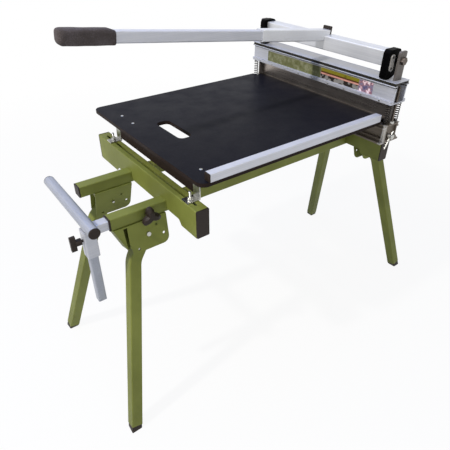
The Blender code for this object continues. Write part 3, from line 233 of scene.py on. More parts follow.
# %% Powder coat
powder_coat, tree, shader = start_material("powder_coated_steel", IOR=1.5, Specular_IOR_Level=0.2)
place = add(tree, "ShaderNodeTexCoord").outputs["Object"]
drift = add(tree, "ShaderNodeTexNoise", {"Vector": place, "Scale": 1 / (140 * MM), "Detail": 3.0})
coat = add(tree, "ShaderNodeValToRGB", {"Fac": drift.outputs["Fac"]},
           [(0.3, "6b7031"), (0.5, "757b38"), (0.72, "808640")])
scuff = add(tree, "ShaderNodeTexNoise", {"Vector": place, "Scale": 1 / (18 * MM), "Detail": 6.0,
                                         "Roughness": 0.72})
scuffed = add(tree, "ShaderNodeMapRange", {"Value": scuff.outputs["Fac"], "From Min": 0.62, "From Max": 0.78,
                                           "To Max": 0.25})
mixed = add(tree, "ShaderNodeMix", {"Factor": scuffed.outputs["Result"], 6: coat.outputs["Color"],
                                    7: colour("8d9150")}, data_type="RGBA")
tree.links.new(mixed.outputs[2], shader.inputs["Base Color"])
gloss = add(tree, "ShaderNodeMapRange", {"Value": scuff.outputs["Fac"], "To Min": 0.4, "To Max": 0.56})
tree.links.new(gloss.outputs["Result"], shader.inputs["Roughness"])
peel = add(tree, "ShaderNodeTexNoise", {"Vector": place, "Scale": 1 / (6 * MM), "Detail": 1.0})
bump = add(tree, "ShaderNodeBump", {"Height": peel.outputs["Fac"], "Strength": 0.12, "Distance": 0.6 * MM})
tree.links.new(bump.outputs["Normal"], shader.inputs["Normal"])
print(powder_coat.name)

# %% [markdown]
# ## Anodised aluminium
#
# Beams, fence, arm and lever are extruded. The die leaves fine lines along the piece, and anodising turns the
# metal to a satin grey that scatters part of the light, so it isn't a pure mirror metal. A noise that is
# stretched along the extrusion gives the lines, because it runs on round every corner, as no picture would.
# The pieces run along three directions and come in six shades: pale for fence and lever, soft for the upper
# beam and the arm, bright for the cam shaft, blue-grey for the support bar, brown-grey for the unpolished
# lower beam and steel-grey for the uprights. The support bar's grey is its own; its blue tint is a painted
# reflection of blue light from above. Die lines are a fraction of a millimetre apart; 3 mm is the finest that
# shows here.

# %% Extruded aluminium, one recipe for every direction and shade
SATIN, POLISHED = 0.3, 0.65
DIE_LINE, DIE_LENGTH = 3 * MM, 420 * MM
PALE = ("c2c4ca", "cdced3", "d8d9dd")
SOFT = ("b2b4ba", "bdbfc5", "c8c9ce")
BRIGHT = ("d2d3d6", "dddee0", "e7e8ea")
# BLUE_GREY: the grey is the bar's own, the blue tint is a painted reflection of blue light from above.
BLUE_GREY = ("969aa3", "a2a6af", "afb3bb")
BROWN_GREY = ("665d52", "746a5e", "857a6f")
STEEL_GREY = ("5c5752", "69635e", "77716c")


def extruded(name, axis, shades, shine=SATIN):
    """Aluminium in three close shades, with die lines along one axis."""
    metal, tree, shader = start_material(name, Metallic=shine, Specular_IOR_Level=0.3)
    place = add(tree, "ShaderNodeTexCoord").outputs["Object"]
    scale = [1 / DIE_LENGTH if letter == axis else 1 / DIE_LINE for letter in "XYZ"]
    spread = add(tree, "ShaderNodeMapping", {"Vector": place, "Scale": scale})
    lines = add(tree, "ShaderNodeTexNoise", {"Vector": spread.outputs["Vector"], "Scale": 1.0, "Detail": 4.0,
                                             "Roughness": 0.6})
    cloud = add(tree, "ShaderNodeTexNoise", {"Vector": place, "Scale": 1 / (90 * MM), "Detail": 3.0})
    tone = add(tree, "ShaderNodeMix", {"Factor": 0.35, 2: lines.outputs["Fac"], 3: cloud.outputs["Fac"]})
    skin = add(tree, "ShaderNodeValToRGB", {"Fac": tone.outputs[0]}, list(zip((0.3, 0.5, 0.7), shades)))
    tree.links.new(skin.outputs["Color"], shader.inputs["Base Color"])
    satin = add(tree, "ShaderNodeMapRange", {"Value": tone.outputs[0], "From Min": 0.3, "From Max": 0.7,
                                             "To Min": 0.34, "To Max": 0.5})
    tree.links.new(satin.outputs["Result"], shader.inputs["Roughness"])
    bump = add(tree, "ShaderNodeBump", {"Height": lines.outputs["Fac"], "Strength": 0.06,
                                        "Distance": 0.3 * MM})
    tree.links.new(bump.outputs["Normal"], shader.inputs["Normal"])
    return metal


pale_x = extruded("anodised_aluminium_x", "X", PALE)
grey_x = extruded("grey_anodised_aluminium_x", "X", SOFT)
grey_y = extruded("grey_anodised_aluminium_y", "Y", BLUE_GREY)
raw_y = extruded("mill_finish_aluminium_y", "Y", BROWN_GREY)
raw_z = extruded("mill_finish_aluminium_z", "Z", STEEL_GREY)
bright_y = extruded("bright_anodised_aluminium_y", "Y", BRIGHT, POLISHED)
print("six aluminiums, die lines drawn", DIE_LINE / MM, "mm apart")

# %% [markdown]
# ## The beam's groove
#
# A groove runs along the top lip of the upper beam, and a corner lies under the lip. Shade falls in both, and
# it is painted here as a dark colour, so they read as dark lines between bright ones. The groove itself is in
# the solid; here its place alone picks the painted shade: high enough on the lip and set back from the lip's
# outer face.

# %% Beam aluminium with painted shade in its groove and under its lip
GROOVE_LOW, GROOVE_HIGH, GROOVE_BACK = 11.5 * MM, 2.0 * MM, 0.6 * MM
LIP_FOOT, UNDER_LIP_SHADE = 15.0 * MM, 4.0 * MM
beam_low, beam_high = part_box("upper_beam")
beam_metal = extruded("grooved_aluminium_y", "Y", SOFT)
tree = beam_metal.node_tree
shader = tree.nodes["Principled BSDF"]
bare = shader.inputs["Base Color"].links[0].from_socket
apart = add(tree, "ShaderNodeSeparateXYZ", {0: add(tree, "ShaderNodeTexCoord").outputs["Object"]})
groove_middle = beam_high.z - (GROOVE_LOW + GROOVE_HIGH) / 2
high_enough = add(tree, "ShaderNodeMath", {0: apart.outputs["Z"], 1: groove_middle,
                                           2: (GROOVE_LOW - GROOVE_HIGH) / 2}, operation="COMPARE")
set_back = add(tree, "ShaderNodeMath", {0: apart.outputs["X"], 1: (beam_low.x + beam_high.x) / 2,
                                        2: (beam_high.x - beam_low.x) / 2 - GROOVE_BACK},
               operation="COMPARE")
corner = add(tree, "ShaderNodeMath", {0: apart.outputs["Z"], 1: beam_high.z - LIP_FOOT - UNDER_LIP_SHADE / 2,
                                      2: UNDER_LIP_SHADE / 2}, operation="COMPARE")
either = add(tree, "ShaderNodeMath", {0: high_enough.outputs[0], 1: corner.outputs[0]}, operation="MAXIMUM")
painted_shade = add(tree, "ShaderNodeMath", {0: either.outputs[0], 1: set_back.outputs[0]}, operation="MULTIPLY")
# Painted shade: the groove and the corner under the lip get a dark, non-metallic colour in place of the shade
# that falls there.
mixed = add(tree, "ShaderNodeMix", {"Factor": painted_shade.outputs[0], 6: bare, 7: colour("24221a")},
            data_type="RGBA")
tree.links.new(mixed.outputs[2], shader.inputs["Base Color"])
dull = add(tree, "ShaderNodeMath", {0: painted_shade.outputs[0], 1: -SATIN, 2: SATIN}, operation="MULTIPLY_ADD")
tree.links.new(dull.outputs[0], shader.inputs["Metallic"])
print("groove from", GROOVE_HIGH / MM, "to", GROOVE_LOW / MM, "mm under the beam's top")

# %% [markdown]
# ## The lower beam's end
#
# A block fills the left groove at the front end of the lower beam, and its last 12 mm are drawn a lighter
# grey than the rest of the beam. It is one solid with the beam, so a second material would have to be given
# face by face. As with the upper groove, the place alone picks the colour.

# %% Lighter front end of the lower beam
END_BLOCK, GROOVE_DEPTH = 12.1 * MM, 9.0 * MM
tree = raw_y.node_tree
shader = tree.nodes["Principled BSDF"]
bare = shader.inputs["Base Color"].links[0].from_socket
apart = add(tree, "ShaderNodeSeparateXYZ", {0: add(tree, "ShaderNodeTexCoord").outputs["Object"]})
near_end = add(tree, "ShaderNodeMath", {0: apart.outputs["Y"], 1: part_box("lower_beam")[0].y + END_BLOCK},
               operation="LESS_THAN")
left_groove = add(tree, "ShaderNodeMath", {0: apart.outputs["X"], 1: beam_low.x + GROOVE_DEPTH},
                  operation="LESS_THAN")
lightened = add(tree, "ShaderNodeMath", {0: near_end.outputs[0], 1: left_groove.outputs[0]},
             operation="MULTIPLY")
# The left part of the front end, over its last 12 mm, gets a lighter grey.
mixed = add(tree, "ShaderNodeMix", {"Factor": lightened.outputs[0], 6: bare, 7: colour("b3afa8")},
            data_type="RGBA")
tree.links.new(mixed.outputs[2], shader.inputs["Base Color"])
print("milled over", END_BLOCK / MM, "mm")

# %% [markdown]
# ## Zinc-plated steel
#
# Brackets, screws and nuts are bright zinc over steel. The plating is shiny, a little uneven and faintly
# mottled, with crystals a few millimetres across. An even grey would look like plastic. A cell pattern, mixed
# with noise, moves the grey and the gloss a little.

# %% Zinc plate
zinc, tree, shader = start_material("zinc_plated_steel", Metallic=1.0)
place = add(tree, "ShaderNodeTexCoord").outputs["Object"]
crystals = add(tree, "ShaderNodeTexVoronoi", {"Vector": place, "Scale": 1 / (5 * MM)})
haze = add(tree, "ShaderNodeTexNoise", {"Vector": place, "Scale": 1 / (25 * MM), "Detail": 4.0})
tone = add(tree, "ShaderNodeMix", {"Factor": 0.6, 2: crystals.outputs["Color"], 3: haze.outputs["Fac"]})
skin = add(tree, "ShaderNodeValToRGB", {"Fac": tone.outputs[0]},
           [(0.25, "a3a3a0"), (0.55, "bdbdb8"), (0.8, "d2d1ca")])
tree.links.new(skin.outputs["Color"], shader.inputs["Base Color"])
gloss = add(tree, "ShaderNodeMapRange", {"Value": haze.outputs["Fac"], "To Min": 0.2, "To Max": 0.4})
tree.links.new(gloss.outputs["Result"], shader.inputs["Roughness"])
print(zinc.name)

# %% [markdown]
# ## Ground steel
#
# The blade is hardened steel, ground almost to a mirror, so it shows the dark table. Grinding leaves straight
# scratches along it. Rods and pivot bolts are plain mill steel, oiled and brown-grey. The plates on the cams
# are sheet steel with a brushed face. The anvil bar is blacked, and ground only along the edge that cuts. All
# these marks could be cut into the mesh, but they are far finer than a pixel, so colour and gloss carry them.

# %% Blade
blade_steel, tree, shader = start_material("ground_tool_steel", Metallic=1.0)
place = add(tree, "ShaderNodeTexCoord").outputs["Object"]
SCRATCH, SCRATCH_LENGTH = 2.5 * MM, 160 * MM
spread = add(tree, "ShaderNodeMapping", {"Vector": place,
                                         "Scale": [1 / SCRATCH, 1 / SCRATCH_LENGTH, 1 / SCRATCH]})
scratch = add(tree, "ShaderNodeTexNoise", {"Vector": spread.outputs["Vector"], "Scale": 1.0, "Detail": 5.0})
film = add(tree, "ShaderNodeTexNoise", {"Vector": place, "Scale": 1 / (70 * MM), "Detail": 4.0})
tone = add(tree, "ShaderNodeMix", {"Factor": 0.5, 2: scratch.outputs["Fac"], 3: film.outputs["Fac"]})
skin = add(tree, "ShaderNodeValToRGB", {"Fac": tone.outputs[0]},
           [(0.3, "978e87"), (0.5, "a89f98"), (0.7, "b8b0a8")])
tree.links.new(skin.outputs["Color"], shader.inputs["Base Color"])
gloss = add(tree, "ShaderNodeMapRange", {"Value": scratch.outputs["Fac"], "To Min": 0.22, "To Max": 0.36})
tree.links.new(gloss.outputs["Result"], shader.inputs["Roughness"])
print(blade_steel.name)

# %% Mill steel and brushed sheet
mill_steel, tree, shader = start_material("oiled_mill_steel", Metallic=1.0)
place = add(tree, "ShaderNodeTexCoord").outputs["Object"]
oil = add(tree, "ShaderNodeTexNoise", {"Vector": place, "Scale": 1 / (22 * MM), "Detail": 5.0})
skin = add(tree, "ShaderNodeValToRGB", {"Fac": oil.outputs["Fac"]},
           [(0.3, "5d554e"), (0.55, "6b635c"), (0.8, "7c746c")])
tree.links.new(skin.outputs["Color"], shader.inputs["Base Color"])
gloss = add(tree, "ShaderNodeMapRange", {"Value": oil.outputs["Fac"], "To Min": 0.28, "To Max": 0.48})
tree.links.new(gloss.outputs["Result"], shader.inputs["Roughness"])

brushed, tree, shader = start_material("brushed_sheet_steel", Metallic=0.4, Roughness=0.42)
place = add(tree, "ShaderNodeTexCoord").outputs["Object"]
BRUSH_LINE, BRUSH_LENGTH = 2 * MM, 60 * MM
spread = add(tree, "ShaderNodeMapping", {"Vector": place,
                                         "Scale": [1 / BRUSH_LINE, 1 / BRUSH_LINE, 1 / BRUSH_LENGTH]})
grain = add(tree, "ShaderNodeTexNoise", {"Vector": spread.outputs["Vector"], "Scale": 1.0, "Detail": 4.0})
skin = add(tree, "ShaderNodeValToRGB", {"Fac": grain.outputs["Fac"]},
           [(0.3, "a09c97"), (0.5, "b0aca6"), (0.7, "c0bcb5")])
tree.links.new(skin.outputs["Color"], shader.inputs["Base Color"])
print(mill_steel.name, brushed.name)

# %% Anvil
EDGE_STRIP = 2.5 * MM
blacked, tree, shader = start_material("blacked_steel_ground_edge", Metallic=1.0, Roughness=0.4)
place = add(tree, "ShaderNodeTexCoord").outputs["Object"]
apart = add(tree, "ShaderNodeSeparateXYZ", {0: place})
edge_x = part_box("anvil_bar")[1].x - EDGE_STRIP
ground = add(tree, "ShaderNodeMath", {0: apart.outputs["X"], 1: edge_x}, operation="GREATER_THAN")
stain = add(tree, "ShaderNodeTexNoise", {"Vector": place, "Scale": 1 / (30 * MM), "Detail": 4.0})
dark = add(tree, "ShaderNodeValToRGB", {"Fac": stain.outputs["Fac"]}, [(0.3, "1c1b1c"), (0.7, "2a292a")])
mixed = add(tree, "ShaderNodeMix", {"Factor": ground.outputs[0], 6: dark.outputs["Color"],
                                    7: colour("6f6b66")}, data_type="RGBA")
tree.links.new(mixed.outputs[2], shader.inputs["Base Color"])
print(blacked.name, "with a bright strip of", EDGE_STRIP / MM, "mm")

# %% [markdown]
# ## Spring wire
#
# The return springs are drawn wire, oiled and tempered to a brown-black, with faint streaks from the die. The
# streaks could follow the wire round its turns. On a wire this thin a small noise looks the same.

# %% Spring wire
spring_wire, tree, shader = start_material("oil_tempered_wire", Metallic=0.3, Roughness=0.5,
                                           Specular_IOR_Level=0.2)
place = add(tree, "ShaderNodeTexCoord").outputs["Object"]
streak = add(tree, "ShaderNodeTexNoise", {"Vector": place, "Scale": 1 / (6 * MM), "Detail": 3.0})
skin = add(tree, "ShaderNodeValToRGB", {"Fac": streak.outputs["Fac"]}, [(0.3, "14110f"), (0.7, "2b2622")])
tree.links.new(skin.outputs["Color"], shader.inputs["Base Color"])
print(spring_wire.name)

# %% [markdown]
# ## Phenolic-faced plywood
#
# The table is birch plywood under a smooth dark film, as on concrete forms and van floors. The film has a
# soft sheen and fine rub marks from use. At the sawn edge the plies show as thin lines, 1.4 mm each and drawn
# twice as wide, under dark edge paint. The plies could be separate sheets; a wave that runs with the height
# is lighter, and only faces that don't point up or down get it.

# %% Faced plywood
PLY_DRAWN = 2.8 * MM
WAVE_PERIOD = 0.314
faced_plywood, tree, shader = start_material("phenolic_faced_plywood", IOR=1.5, Specular_IOR_Level=0.025)
place = add(tree, "ShaderNodeTexCoord").outputs["Object"]
fibre = add(tree, "ShaderNodeTexNoise", {"Vector": place, "Scale": 1 / (7 * MM), "Detail": 5.0,
                                         "Roughness": 0.65})
film = add(tree, "ShaderNodeValToRGB", {"Fac": fibre.outputs["Fac"]},
           [(0.3, "17171c"), (0.6, "1c1c22"), (0.85, "27272f")])
plies = add(tree, "ShaderNodeTexWave", {"Vector": place, "Scale": WAVE_PERIOD / PLY_DRAWN,
                                        "Distortion": 0.6}, bands_direction="Z")
edge = add(tree, "ShaderNodeValToRGB", {"Fac": plies.outputs["Fac"]}, [(0.2, "1d1716"), (0.8, "352b27")])
normal = add(tree, "ShaderNodeSeparateXYZ", {0: add(tree, "ShaderNodeNewGeometry").outputs["Normal"]})
level = add(tree, "ShaderNodeMath", {0: normal.outputs["Z"]}, operation="ABSOLUTE")
flat = add(tree, "ShaderNodeMapRange", {"Value": level.outputs[0], "From Min": 0.4, "From Max": 0.7})
mixed = add(tree, "ShaderNodeMix", {"Factor": flat.outputs["Result"], 6: edge.outputs["Color"],
                                    7: film.outputs["Color"]}, data_type="RGBA")
tree.links.new(mixed.outputs[2], shader.inputs["Base Color"])
rub = add(tree, "ShaderNodeTexNoise", {"Vector": place, "Scale": 1 / (60 * MM), "Detail": 6.0})
gloss = add(tree, "ShaderNodeMapRange", {"Value": rub.outputs["Fac"], "From Min": 0.3, "From Max": 0.7,
                                         "To Min": 0.3, "To Max": 0.46})
tree.links.new(gloss.outputs["Result"], shader.inputs["Roughness"])
bump = add(tree, "ShaderNodeBump", {"Height": fibre.outputs["Fac"], "Strength": 0.05, "Distance": 0.3 * MM})
tree.links.new(bump.outputs["Normal"], shader.inputs["Normal"])
print(faced_plywood.name, "with plies drawn", PLY_DRAWN / MM, "mm thick")

# %% [markdown]
# ## Nylon, moulded plastic and foam
#
# The two cams are sawn from black nylon that swallows nearly all light. Caps, plugs, feet and knobs come from
# a mould with a fine spark-eroded texture, which makes them a dull brown-black. The grip is closed-cell foam:
# its cells are half a millimetre across and are drawn as 2.5 mm pits. A bump is enough for pits and mould
# texture, since neither shows in the outline.

# %% Nylon
nylon, tree, shader = start_material("sawn_black_nylon", IOR=1.53, Specular_IOR_Level=0.02)
place = add(tree, "ShaderNodeTexCoord").outputs["Object"]
saw = add(tree, "ShaderNodeTexNoise", {"Vector": place, "Scale": 1 / (9 * MM), "Detail": 3.0})
skin = add(tree, "ShaderNodeValToRGB", {"Fac": saw.outputs["Fac"]}, [(0.3, "030303"), (0.7, "080708")])
tree.links.new(skin.outputs["Color"], shader.inputs["Base Color"])
gloss = add(tree, "ShaderNodeMapRange", {"Value": saw.outputs["Fac"], "To Min": 0.35, "To Max": 0.55})
tree.links.new(gloss.outputs["Result"], shader.inputs["Roughness"])
print(nylon.name)

# %% Moulded polypropylene
moulded, tree, shader = start_material("moulded_polypropylene", Roughness=0.5, IOR=1.49,
                                       Specular_IOR_Level=0.25)
place = add(tree, "ShaderNodeTexCoord").outputs["Object"]
spark = add(tree, "ShaderNodeTexNoise", {"Vector": place, "Scale": 1 / (3 * MM), "Detail": 2.0})
skin = add(tree, "ShaderNodeValToRGB", {"Fac": spark.outputs["Fac"]}, [(0.3, "1f1813"), (0.7, "2d231c")])
tree.links.new(skin.outputs["Color"], shader.inputs["Base Color"])
bump = add(tree, "ShaderNodeBump", {"Height": spark.outputs["Fac"], "Strength": 0.15, "Distance": 0.3 * MM})
tree.links.new(bump.outputs["Normal"], shader.inputs["Normal"])
print(moulded.name)

# %% Foam
foam, tree, shader = start_material("closed_cell_foam", Roughness=0.85, IOR=1.45, Specular_IOR_Level=0.25)
place = add(tree, "ShaderNodeTexCoord").outputs["Object"]
cells = add(tree, "ShaderNodeTexVoronoi", {"Vector": place, "Scale": 1 / (2.5 * MM)})
wear = add(tree, "ShaderNodeTexNoise", {"Vector": place, "Scale": 1 / (35 * MM), "Detail": 4.0})
tone = add(tree, "ShaderNodeMix", {"Factor": 0.65, 2: cells.outputs["Distance"], 3: wear.outputs["Fac"]})
skin = add(tree, "ShaderNodeValToRGB", {"Fac": tone.outputs[0]},
           [(0.25, "403936"), (0.5, "4e4745"), (0.75, "605959")])
tree.links.new(skin.outputs["Color"], shader.inputs["Base Color"])
bump = add(tree, "ShaderNodeBump", {"Height": cells.outputs["Distance"], "Strength": 0.3,
                                    "Distance": 0.5 * MM})
tree.links.new(bump.outputs["Normal"], shader.inputs["Normal"])
print(foam.name)

# %% [markdown]
# ## Dressing the solids
#
# The record says which finish each solid has. Extrusions also need their direction and shade, so those are
# named one by one, as are the few steel pieces that differ from the rest. Real edges are never knife-sharp,
# so a narrow bevel catches the light along every edge. The imported meshes are split along their edges, so a
# weld comes first.

# %% Materials and soft edges on every solid
finishes = {"olive_paint": powder_coat, "black_plastic": moulded, "black_nylon": nylon, "zinc_plate": zinc,
            "faced_plywood": faced_plywood, "ground_steel": blade_steel, "spring_wire": spring_wire,
            "foam": foam}
own = {"extension_arm": grey_x, "support_bar": grey_y, "fence": pale_x, "lever_tube": pale_x,
       "upper_beam": beam_metal, "lower_beam": raw_y, "cam_shaft": bright_y, "anvil_bar": blacked}
for end in ("front_", "rear_"):
    own.update({end + "upright": raw_z, end + "guide_rod": mill_steel, end + "pivot_bolt": mill_steel,
                end + "cam_plate": brushed})
slots = {entry["node"]: entry["material_slot"] for entry in frame["record"]["subparts"]}
EDGE, EDGE_ANGLE = 0.7 * MM, math.radians(40)
WELD_REACH = 0.00001
for name, solid in nodes.items():
    material = own.get(name) or finishes[slots[name]]
    solid.data.materials.clear()
    solid.data.materials.append(material)
    weld = solid.modifiers.new("weld", "WELD")
    weld.merge_threshold = WELD_REACH
    soft = solid.modifiers.new("soft_edges", "BEVEL")
    soft.width = EDGE
    soft.segments = 2
    soft.limit_method = "ANGLE"
    soft.angle_limit = EDGE_ANGLE
    soft.harden_normals = True
print(len(nodes), "solids dressed,", len(own), "of them by name")

# %% [markdown]
# ## Small round pieces
#
# Screws, nuts and studs are turned on a lathe or headed in a die, so each one is a stack of rings about an
# axis. A ring's radius may be a number, or a function of the angle for a hexagon or a cross-shaped recess.
# Blender can also spin a profile, but a spin is always round. One function joins the rings to a closed mesh,
# gives it a material and lets it ride on a body of the stand.


# %% Rings to meshes
SIDES = 36
ANGLES = [2 * math.pi * i / SIDES for i in range(SIDES)]
SHARP = math.radians(35)
UP = (0, 0, 1)


def piece(name, rings, material, body, looped=False):
    """A mesh through rings of points. Its ends are filled, or its last ring joins its first. It rides on a
    body, if one is named."""
    bm = bmesh.new()
    loops = [[bm.verts.new(point) for point in ring] for ring in rings]
    pairs = list(zip(loops, loops[1:]))
    if looped:
        pairs.append((loops[-1], loops[0]))
    else:
        bm.faces.new(loops[0])
        bm.faces.new(loops[-1])
    for low, high in pairs:
        for i, corner in enumerate(low):
            after = (i + 1) % len(low)
            bm.faces.new((corner, low[after], high[after], high[i]))
    bmesh.ops.recalc_face_normals(bm, faces=bm.faces)
    mesh = bpy.data.meshes.new(name)
    bm.to_mesh(mesh)
    bm.free()
    mesh.shade_smooth()
    mesh.set_sharp_from_angle(angle=SHARP)
    mesh.materials.append(material)
    made = bpy.data.objects.new(name, mesh)
    bpy.context.scene.collection.objects.link(made)
    if body:
        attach(made, body)
    return made


def turned(place, axis, steps):
    """Rings about an axis. A step is a height and a radius in mm; the radius may depend on the angle."""
    aim = Vector(axis).to_track_quat("Z", "Y").to_matrix()
    rings = []
    for height, radius in steps:
        reach = [radius(a) if callable(radius) else radius for a in ANGLES]
        rings.append([place + aim @ Vector((r * math.cos(a), r * math.sin(a), height)) * MM
                      for r, a in zip(reach, ANGLES)])
    return rings


print("a ring has", SIDES, "points")

# %% [markdown]
# ## Outlines of nuts, recesses and threads
#
# Three outlines come back again and again: the hexagon of a nut or a socket, the cross of a screw's recess,
# and the groove of a thread, which climbs one pitch for each turn. Each is a reach that depends on the angle.


# %% Reach of an edge at an angle
def hexagon(corner):
    """The reach of a hexagon's edge at an angle."""
    flat = corner * math.cos(math.pi / 6)
    return lambda angle: flat / math.cos(angle % (math.pi / 3) - math.pi / 6)


def cross(arm, half_width):
    """The reach of a cross recess's edge at an angle."""
    def reach(angle):
        off = (angle + math.pi / 4) % (math.pi / 2) - math.pi / 4
        return min(arm / math.cos(off), half_width / max(abs(math.sin(off)), 0.001))
    return reach


THREAD_DEPTH, RINGS_A_PITCH = 0.55, 5


def thread(radius, pitch, start, end):
    """Steps of a threaded rod: a groove that climbs one pitch for each turn."""
    count = round((end - start) / pitch * RINGS_A_PITCH)

    def reach_at(level):
        def reach(angle):
            phase = (level / pitch - angle / (2 * math.pi)) % 1
            return radius - THREAD_DEPTH * pitch * abs(2 * phase - 1)
        return reach

    levels = [start + (end - start) * i / count for i in range(count + 1)]
    return [(level, reach_at(level)) for level in levels]


print("a thread is", THREAD_DEPTH, "of its pitch deep")

# %% [markdown]
# ## Guide rods
#
# Each end of the shear has a threaded rod through the upper beam, held by a nut on the lower one. The thread
# is real geometry here. Such a rod has turns 1.5 mm apart; 2.5 mm is drawn, because a finer one would vanish
# in the picture. The rod stands in place of the plain solid.

# %% Threaded rods and their nuts
ROD_RADIUS, ROD_PITCH, ROD_TIP, ROD_CHAMFER = 5.0, 2.5, 1.0, 1.6
NUT_CORNER, NUT_HEIGHT, NUT_PLAY = 8.5, 8.0, 0.1
for end in ("front", "rear"):
    low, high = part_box(end + "_guide_rod")
    base = Vector(((low.x + high.x) / 2, (low.y + high.y) / 2, low.z))
    length = (high.z - low.z) / MM
    steps = thread(ROD_RADIUS, ROD_PITCH, 0.0, length - ROD_TIP) + [(length, ROD_RADIUS - ROD_CHAMFER)]
    rod = piece(end + "_threaded_rod", turned(base, UP, steps), mill_steel, "stand")
    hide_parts(end + "_guide_rod")
    nut = [(0.0, NUT_CORNER * 0.88), (0.8, hexagon(NUT_CORNER)), (NUT_HEIGHT - 0.9, hexagon(NUT_CORNER)),
           (NUT_HEIGHT, NUT_CORNER * 0.86), (NUT_HEIGHT, ROD_RADIUS + NUT_PLAY), (0.0, ROD_RADIUS + NUT_PLAY)]
    piece(end + "_rod_nut", turned(base, UP, nut), zinc, "stand", looped=True)
print("rods are", round(length), "mm long")

# %% [markdown]
# ## Return springs
#
# Two coil springs at each end push the upper beam up. A coil is a tube along a helix: its wire climbs slowly
# in the first and last turn, so the ends sit flat, and faster between.

# %% Coils
COIL_RADIUS, WIRE_RADIUS, COIL_TURNS, FLAT_TURNS = 7.4, 1.6, 10.0, 0.9
STEPS_A_TURN, WIRE_SIDES, COIL_GAP, FLAT_GAP = 24, 10, 0.3, 0.2
WIRE_ANGLES = [2 * math.pi * i / WIRE_SIDES for i in range(WIRE_SIDES)]


def coil_rise(turns, height):
    """How high the wire is after some turns: slow in the end turns, even between."""
    flat = 2 * WIRE_RADIUS + FLAT_GAP
    if turns < FLAT_TURNS:
        return flat * turns
    if turns > COIL_TURNS - FLAT_TURNS:
        return height - flat * (COIL_TURNS - turns)
    share = (turns - FLAT_TURNS) / (COIL_TURNS - 2 * FLAT_TURNS)
    return flat * FLAT_TURNS + (height - 2 * flat * FLAT_TURNS) * share


for corner_name in ("front_left", "front_right", "rear_left", "rear_right"):
    low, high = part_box(corner_name + "_spring")
    foot = Vector(((low.x + high.x) / 2, (low.y + high.y) / 2, low.z))
    foot += Vector((0, 0, WIRE_RADIUS + COIL_GAP)) * MM
    height = (high.z - low.z) / MM - 2 * (WIRE_RADIUS + COIL_GAP)
    rings = []
    for step in range(round(COIL_TURNS * STEPS_A_TURN) + 1):
        turns = step / STEPS_A_TURN
        outward = Vector((math.cos(2 * math.pi * turns), math.sin(2 * math.pi * turns), 0))
        middle = foot + (outward * COIL_RADIUS + Vector((0, 0, coil_rise(turns, height)))) * MM
        rings.append([middle + (outward * math.cos(a) + Vector((0, 0, math.sin(a)))) * WIRE_RADIUS * MM
                      for a in WIRE_ANGLES])
    coil = piece(corner_name + "_coil", rings, spring_wire, None)
    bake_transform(coil)
    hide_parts(corner_name + "_spring")
print("four springs of", COIL_TURNS, "turns")

# %% [markdown]
# ## Blade
#
# The solid blade ends a few millimetres above the anvil. On the real one the ground edge hangs down to the
# anvil's level when the lever rests, so no light shows under it. This blade has the same faces and a longer
# edge, with the hollow of the grinding on its far side, and stands in place of the solid.

# %% Blade with its ground edge
EDGE_DROP, EDGE_LAND, BEVEL_RISE, HOLLOW = 7.4 * MM, 0.8 * MM, 11.0 * MM, 0.35 * MM
BEVEL_STEPS = 6
low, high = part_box("blade")
tip = low.z - EDGE_DROP
bevel_width = high.x - low.x - EDGE_LAND
section = [(low.x, high.z), (low.x, tip), (low.x + EDGE_LAND, tip)]
for step in range(1, BEVEL_STEPS):
    part = step / BEVEL_STEPS
    dip = HOLLOW * math.sin(math.pi * part)
    section.append((low.x + EDGE_LAND + bevel_width * part - dip, tip + BEVEL_RISE * part))
section += [(high.x, tip + BEVEL_RISE), (high.x, high.z)]
ends = [[(x, y, z) for x, z in section] for y in (low.y, high.y)]
blade = piece("ground_blade", ends, blade_steel, "blade_beam")
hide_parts("blade")

# %% [markdown]
# ## Bolts of the table brackets
#
# Each zinc bracket stands on the mount with one stud through the mount's slot, a washer and a nut. The stud
# is left long, so the bracket can be moved along the slot. Stud, washer and nut could be one mesh; as three
# pieces they catch the light at their own edges.

# %% Studs, washers and nuts
STUD_RADIUS, STUD_PITCH, STUD_DOWN, STUD_UP = 4.0, 2.0, 9.0, 26.0
STUD_TIP, STUD_CHAMFER = 0.8, 1.3
BRACKET_SHEET = 4.0 * MM
mount_low, mount_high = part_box("left_tool_mount")
for end in ("front", "rear"):
    low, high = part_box(end + "_table_bracket")
    foot = Vector(((mount_low.x + mount_high.x) / 2, (low.y + high.y) / 2, low.z + BRACKET_SHEET))
    stud = thread(STUD_RADIUS, STUD_PITCH, -STUD_DOWN, STUD_UP - STUD_TIP)
    stud.append((STUD_UP, STUD_RADIUS - STUD_CHAMFER))
    piece(end + "_bracket_stud", turned(foot, UP, stud), zinc, "stand")
    washer = [(0.05, 8.6), (0.3, 9.0), (1.5, 9.0), (1.7, 8.7), (1.7, 4.3), (0.05, 4.3)]
    piece(end + "_bracket_washer", turned(foot, UP, washer), zinc, "stand", looped=True)
    nut = [(1.75, 6.6), (2.4, hexagon(7.5)), (7.6, hexagon(7.5)), (8.3, 6.5), (8.3, 4.15), (1.75, 4.15)]
    piece(end + "_bracket_nut", turned(foot, UP, nut), zinc, "stand", looped=True)
print("studs stand", STUD_UP, "mm above the brackets' feet")

# %% [markdown]
# ## Table screws
#
# Four cross-head screws hold the table on its brackets. Their heads stand just proud of the film. A cross
# could be painted on a disc. Here it is sunk into the head, because a real recess goes dark as the light
# turns.

# %% Cross-head screws in the table
TABLE_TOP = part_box("table")[1].z
HEAD = 5.0
SCREW_PLACES = ((-391, 264), (-391, 182), (-391, -224), (-391, -256))
head_steps = [(0.02, HEAD), (0.5, HEAD * 0.99), (1.0, HEAD * 0.86), (1.3, HEAD * 0.66),
              (1.35, cross(HEAD * 0.5, HEAD * 0.13)), (0.3, cross(HEAD * 0.42, HEAD * 0.1))]
for number, (x, y) in enumerate(SCREW_PLACES):
    place = spot(x, y, 0)
    place.z = TABLE_TOP
    piece(f"table_screw_{number}", turned(place, UP, head_steps), zinc, "stand")
print("four screw heads at", round(TABLE_TOP, 4), "m")

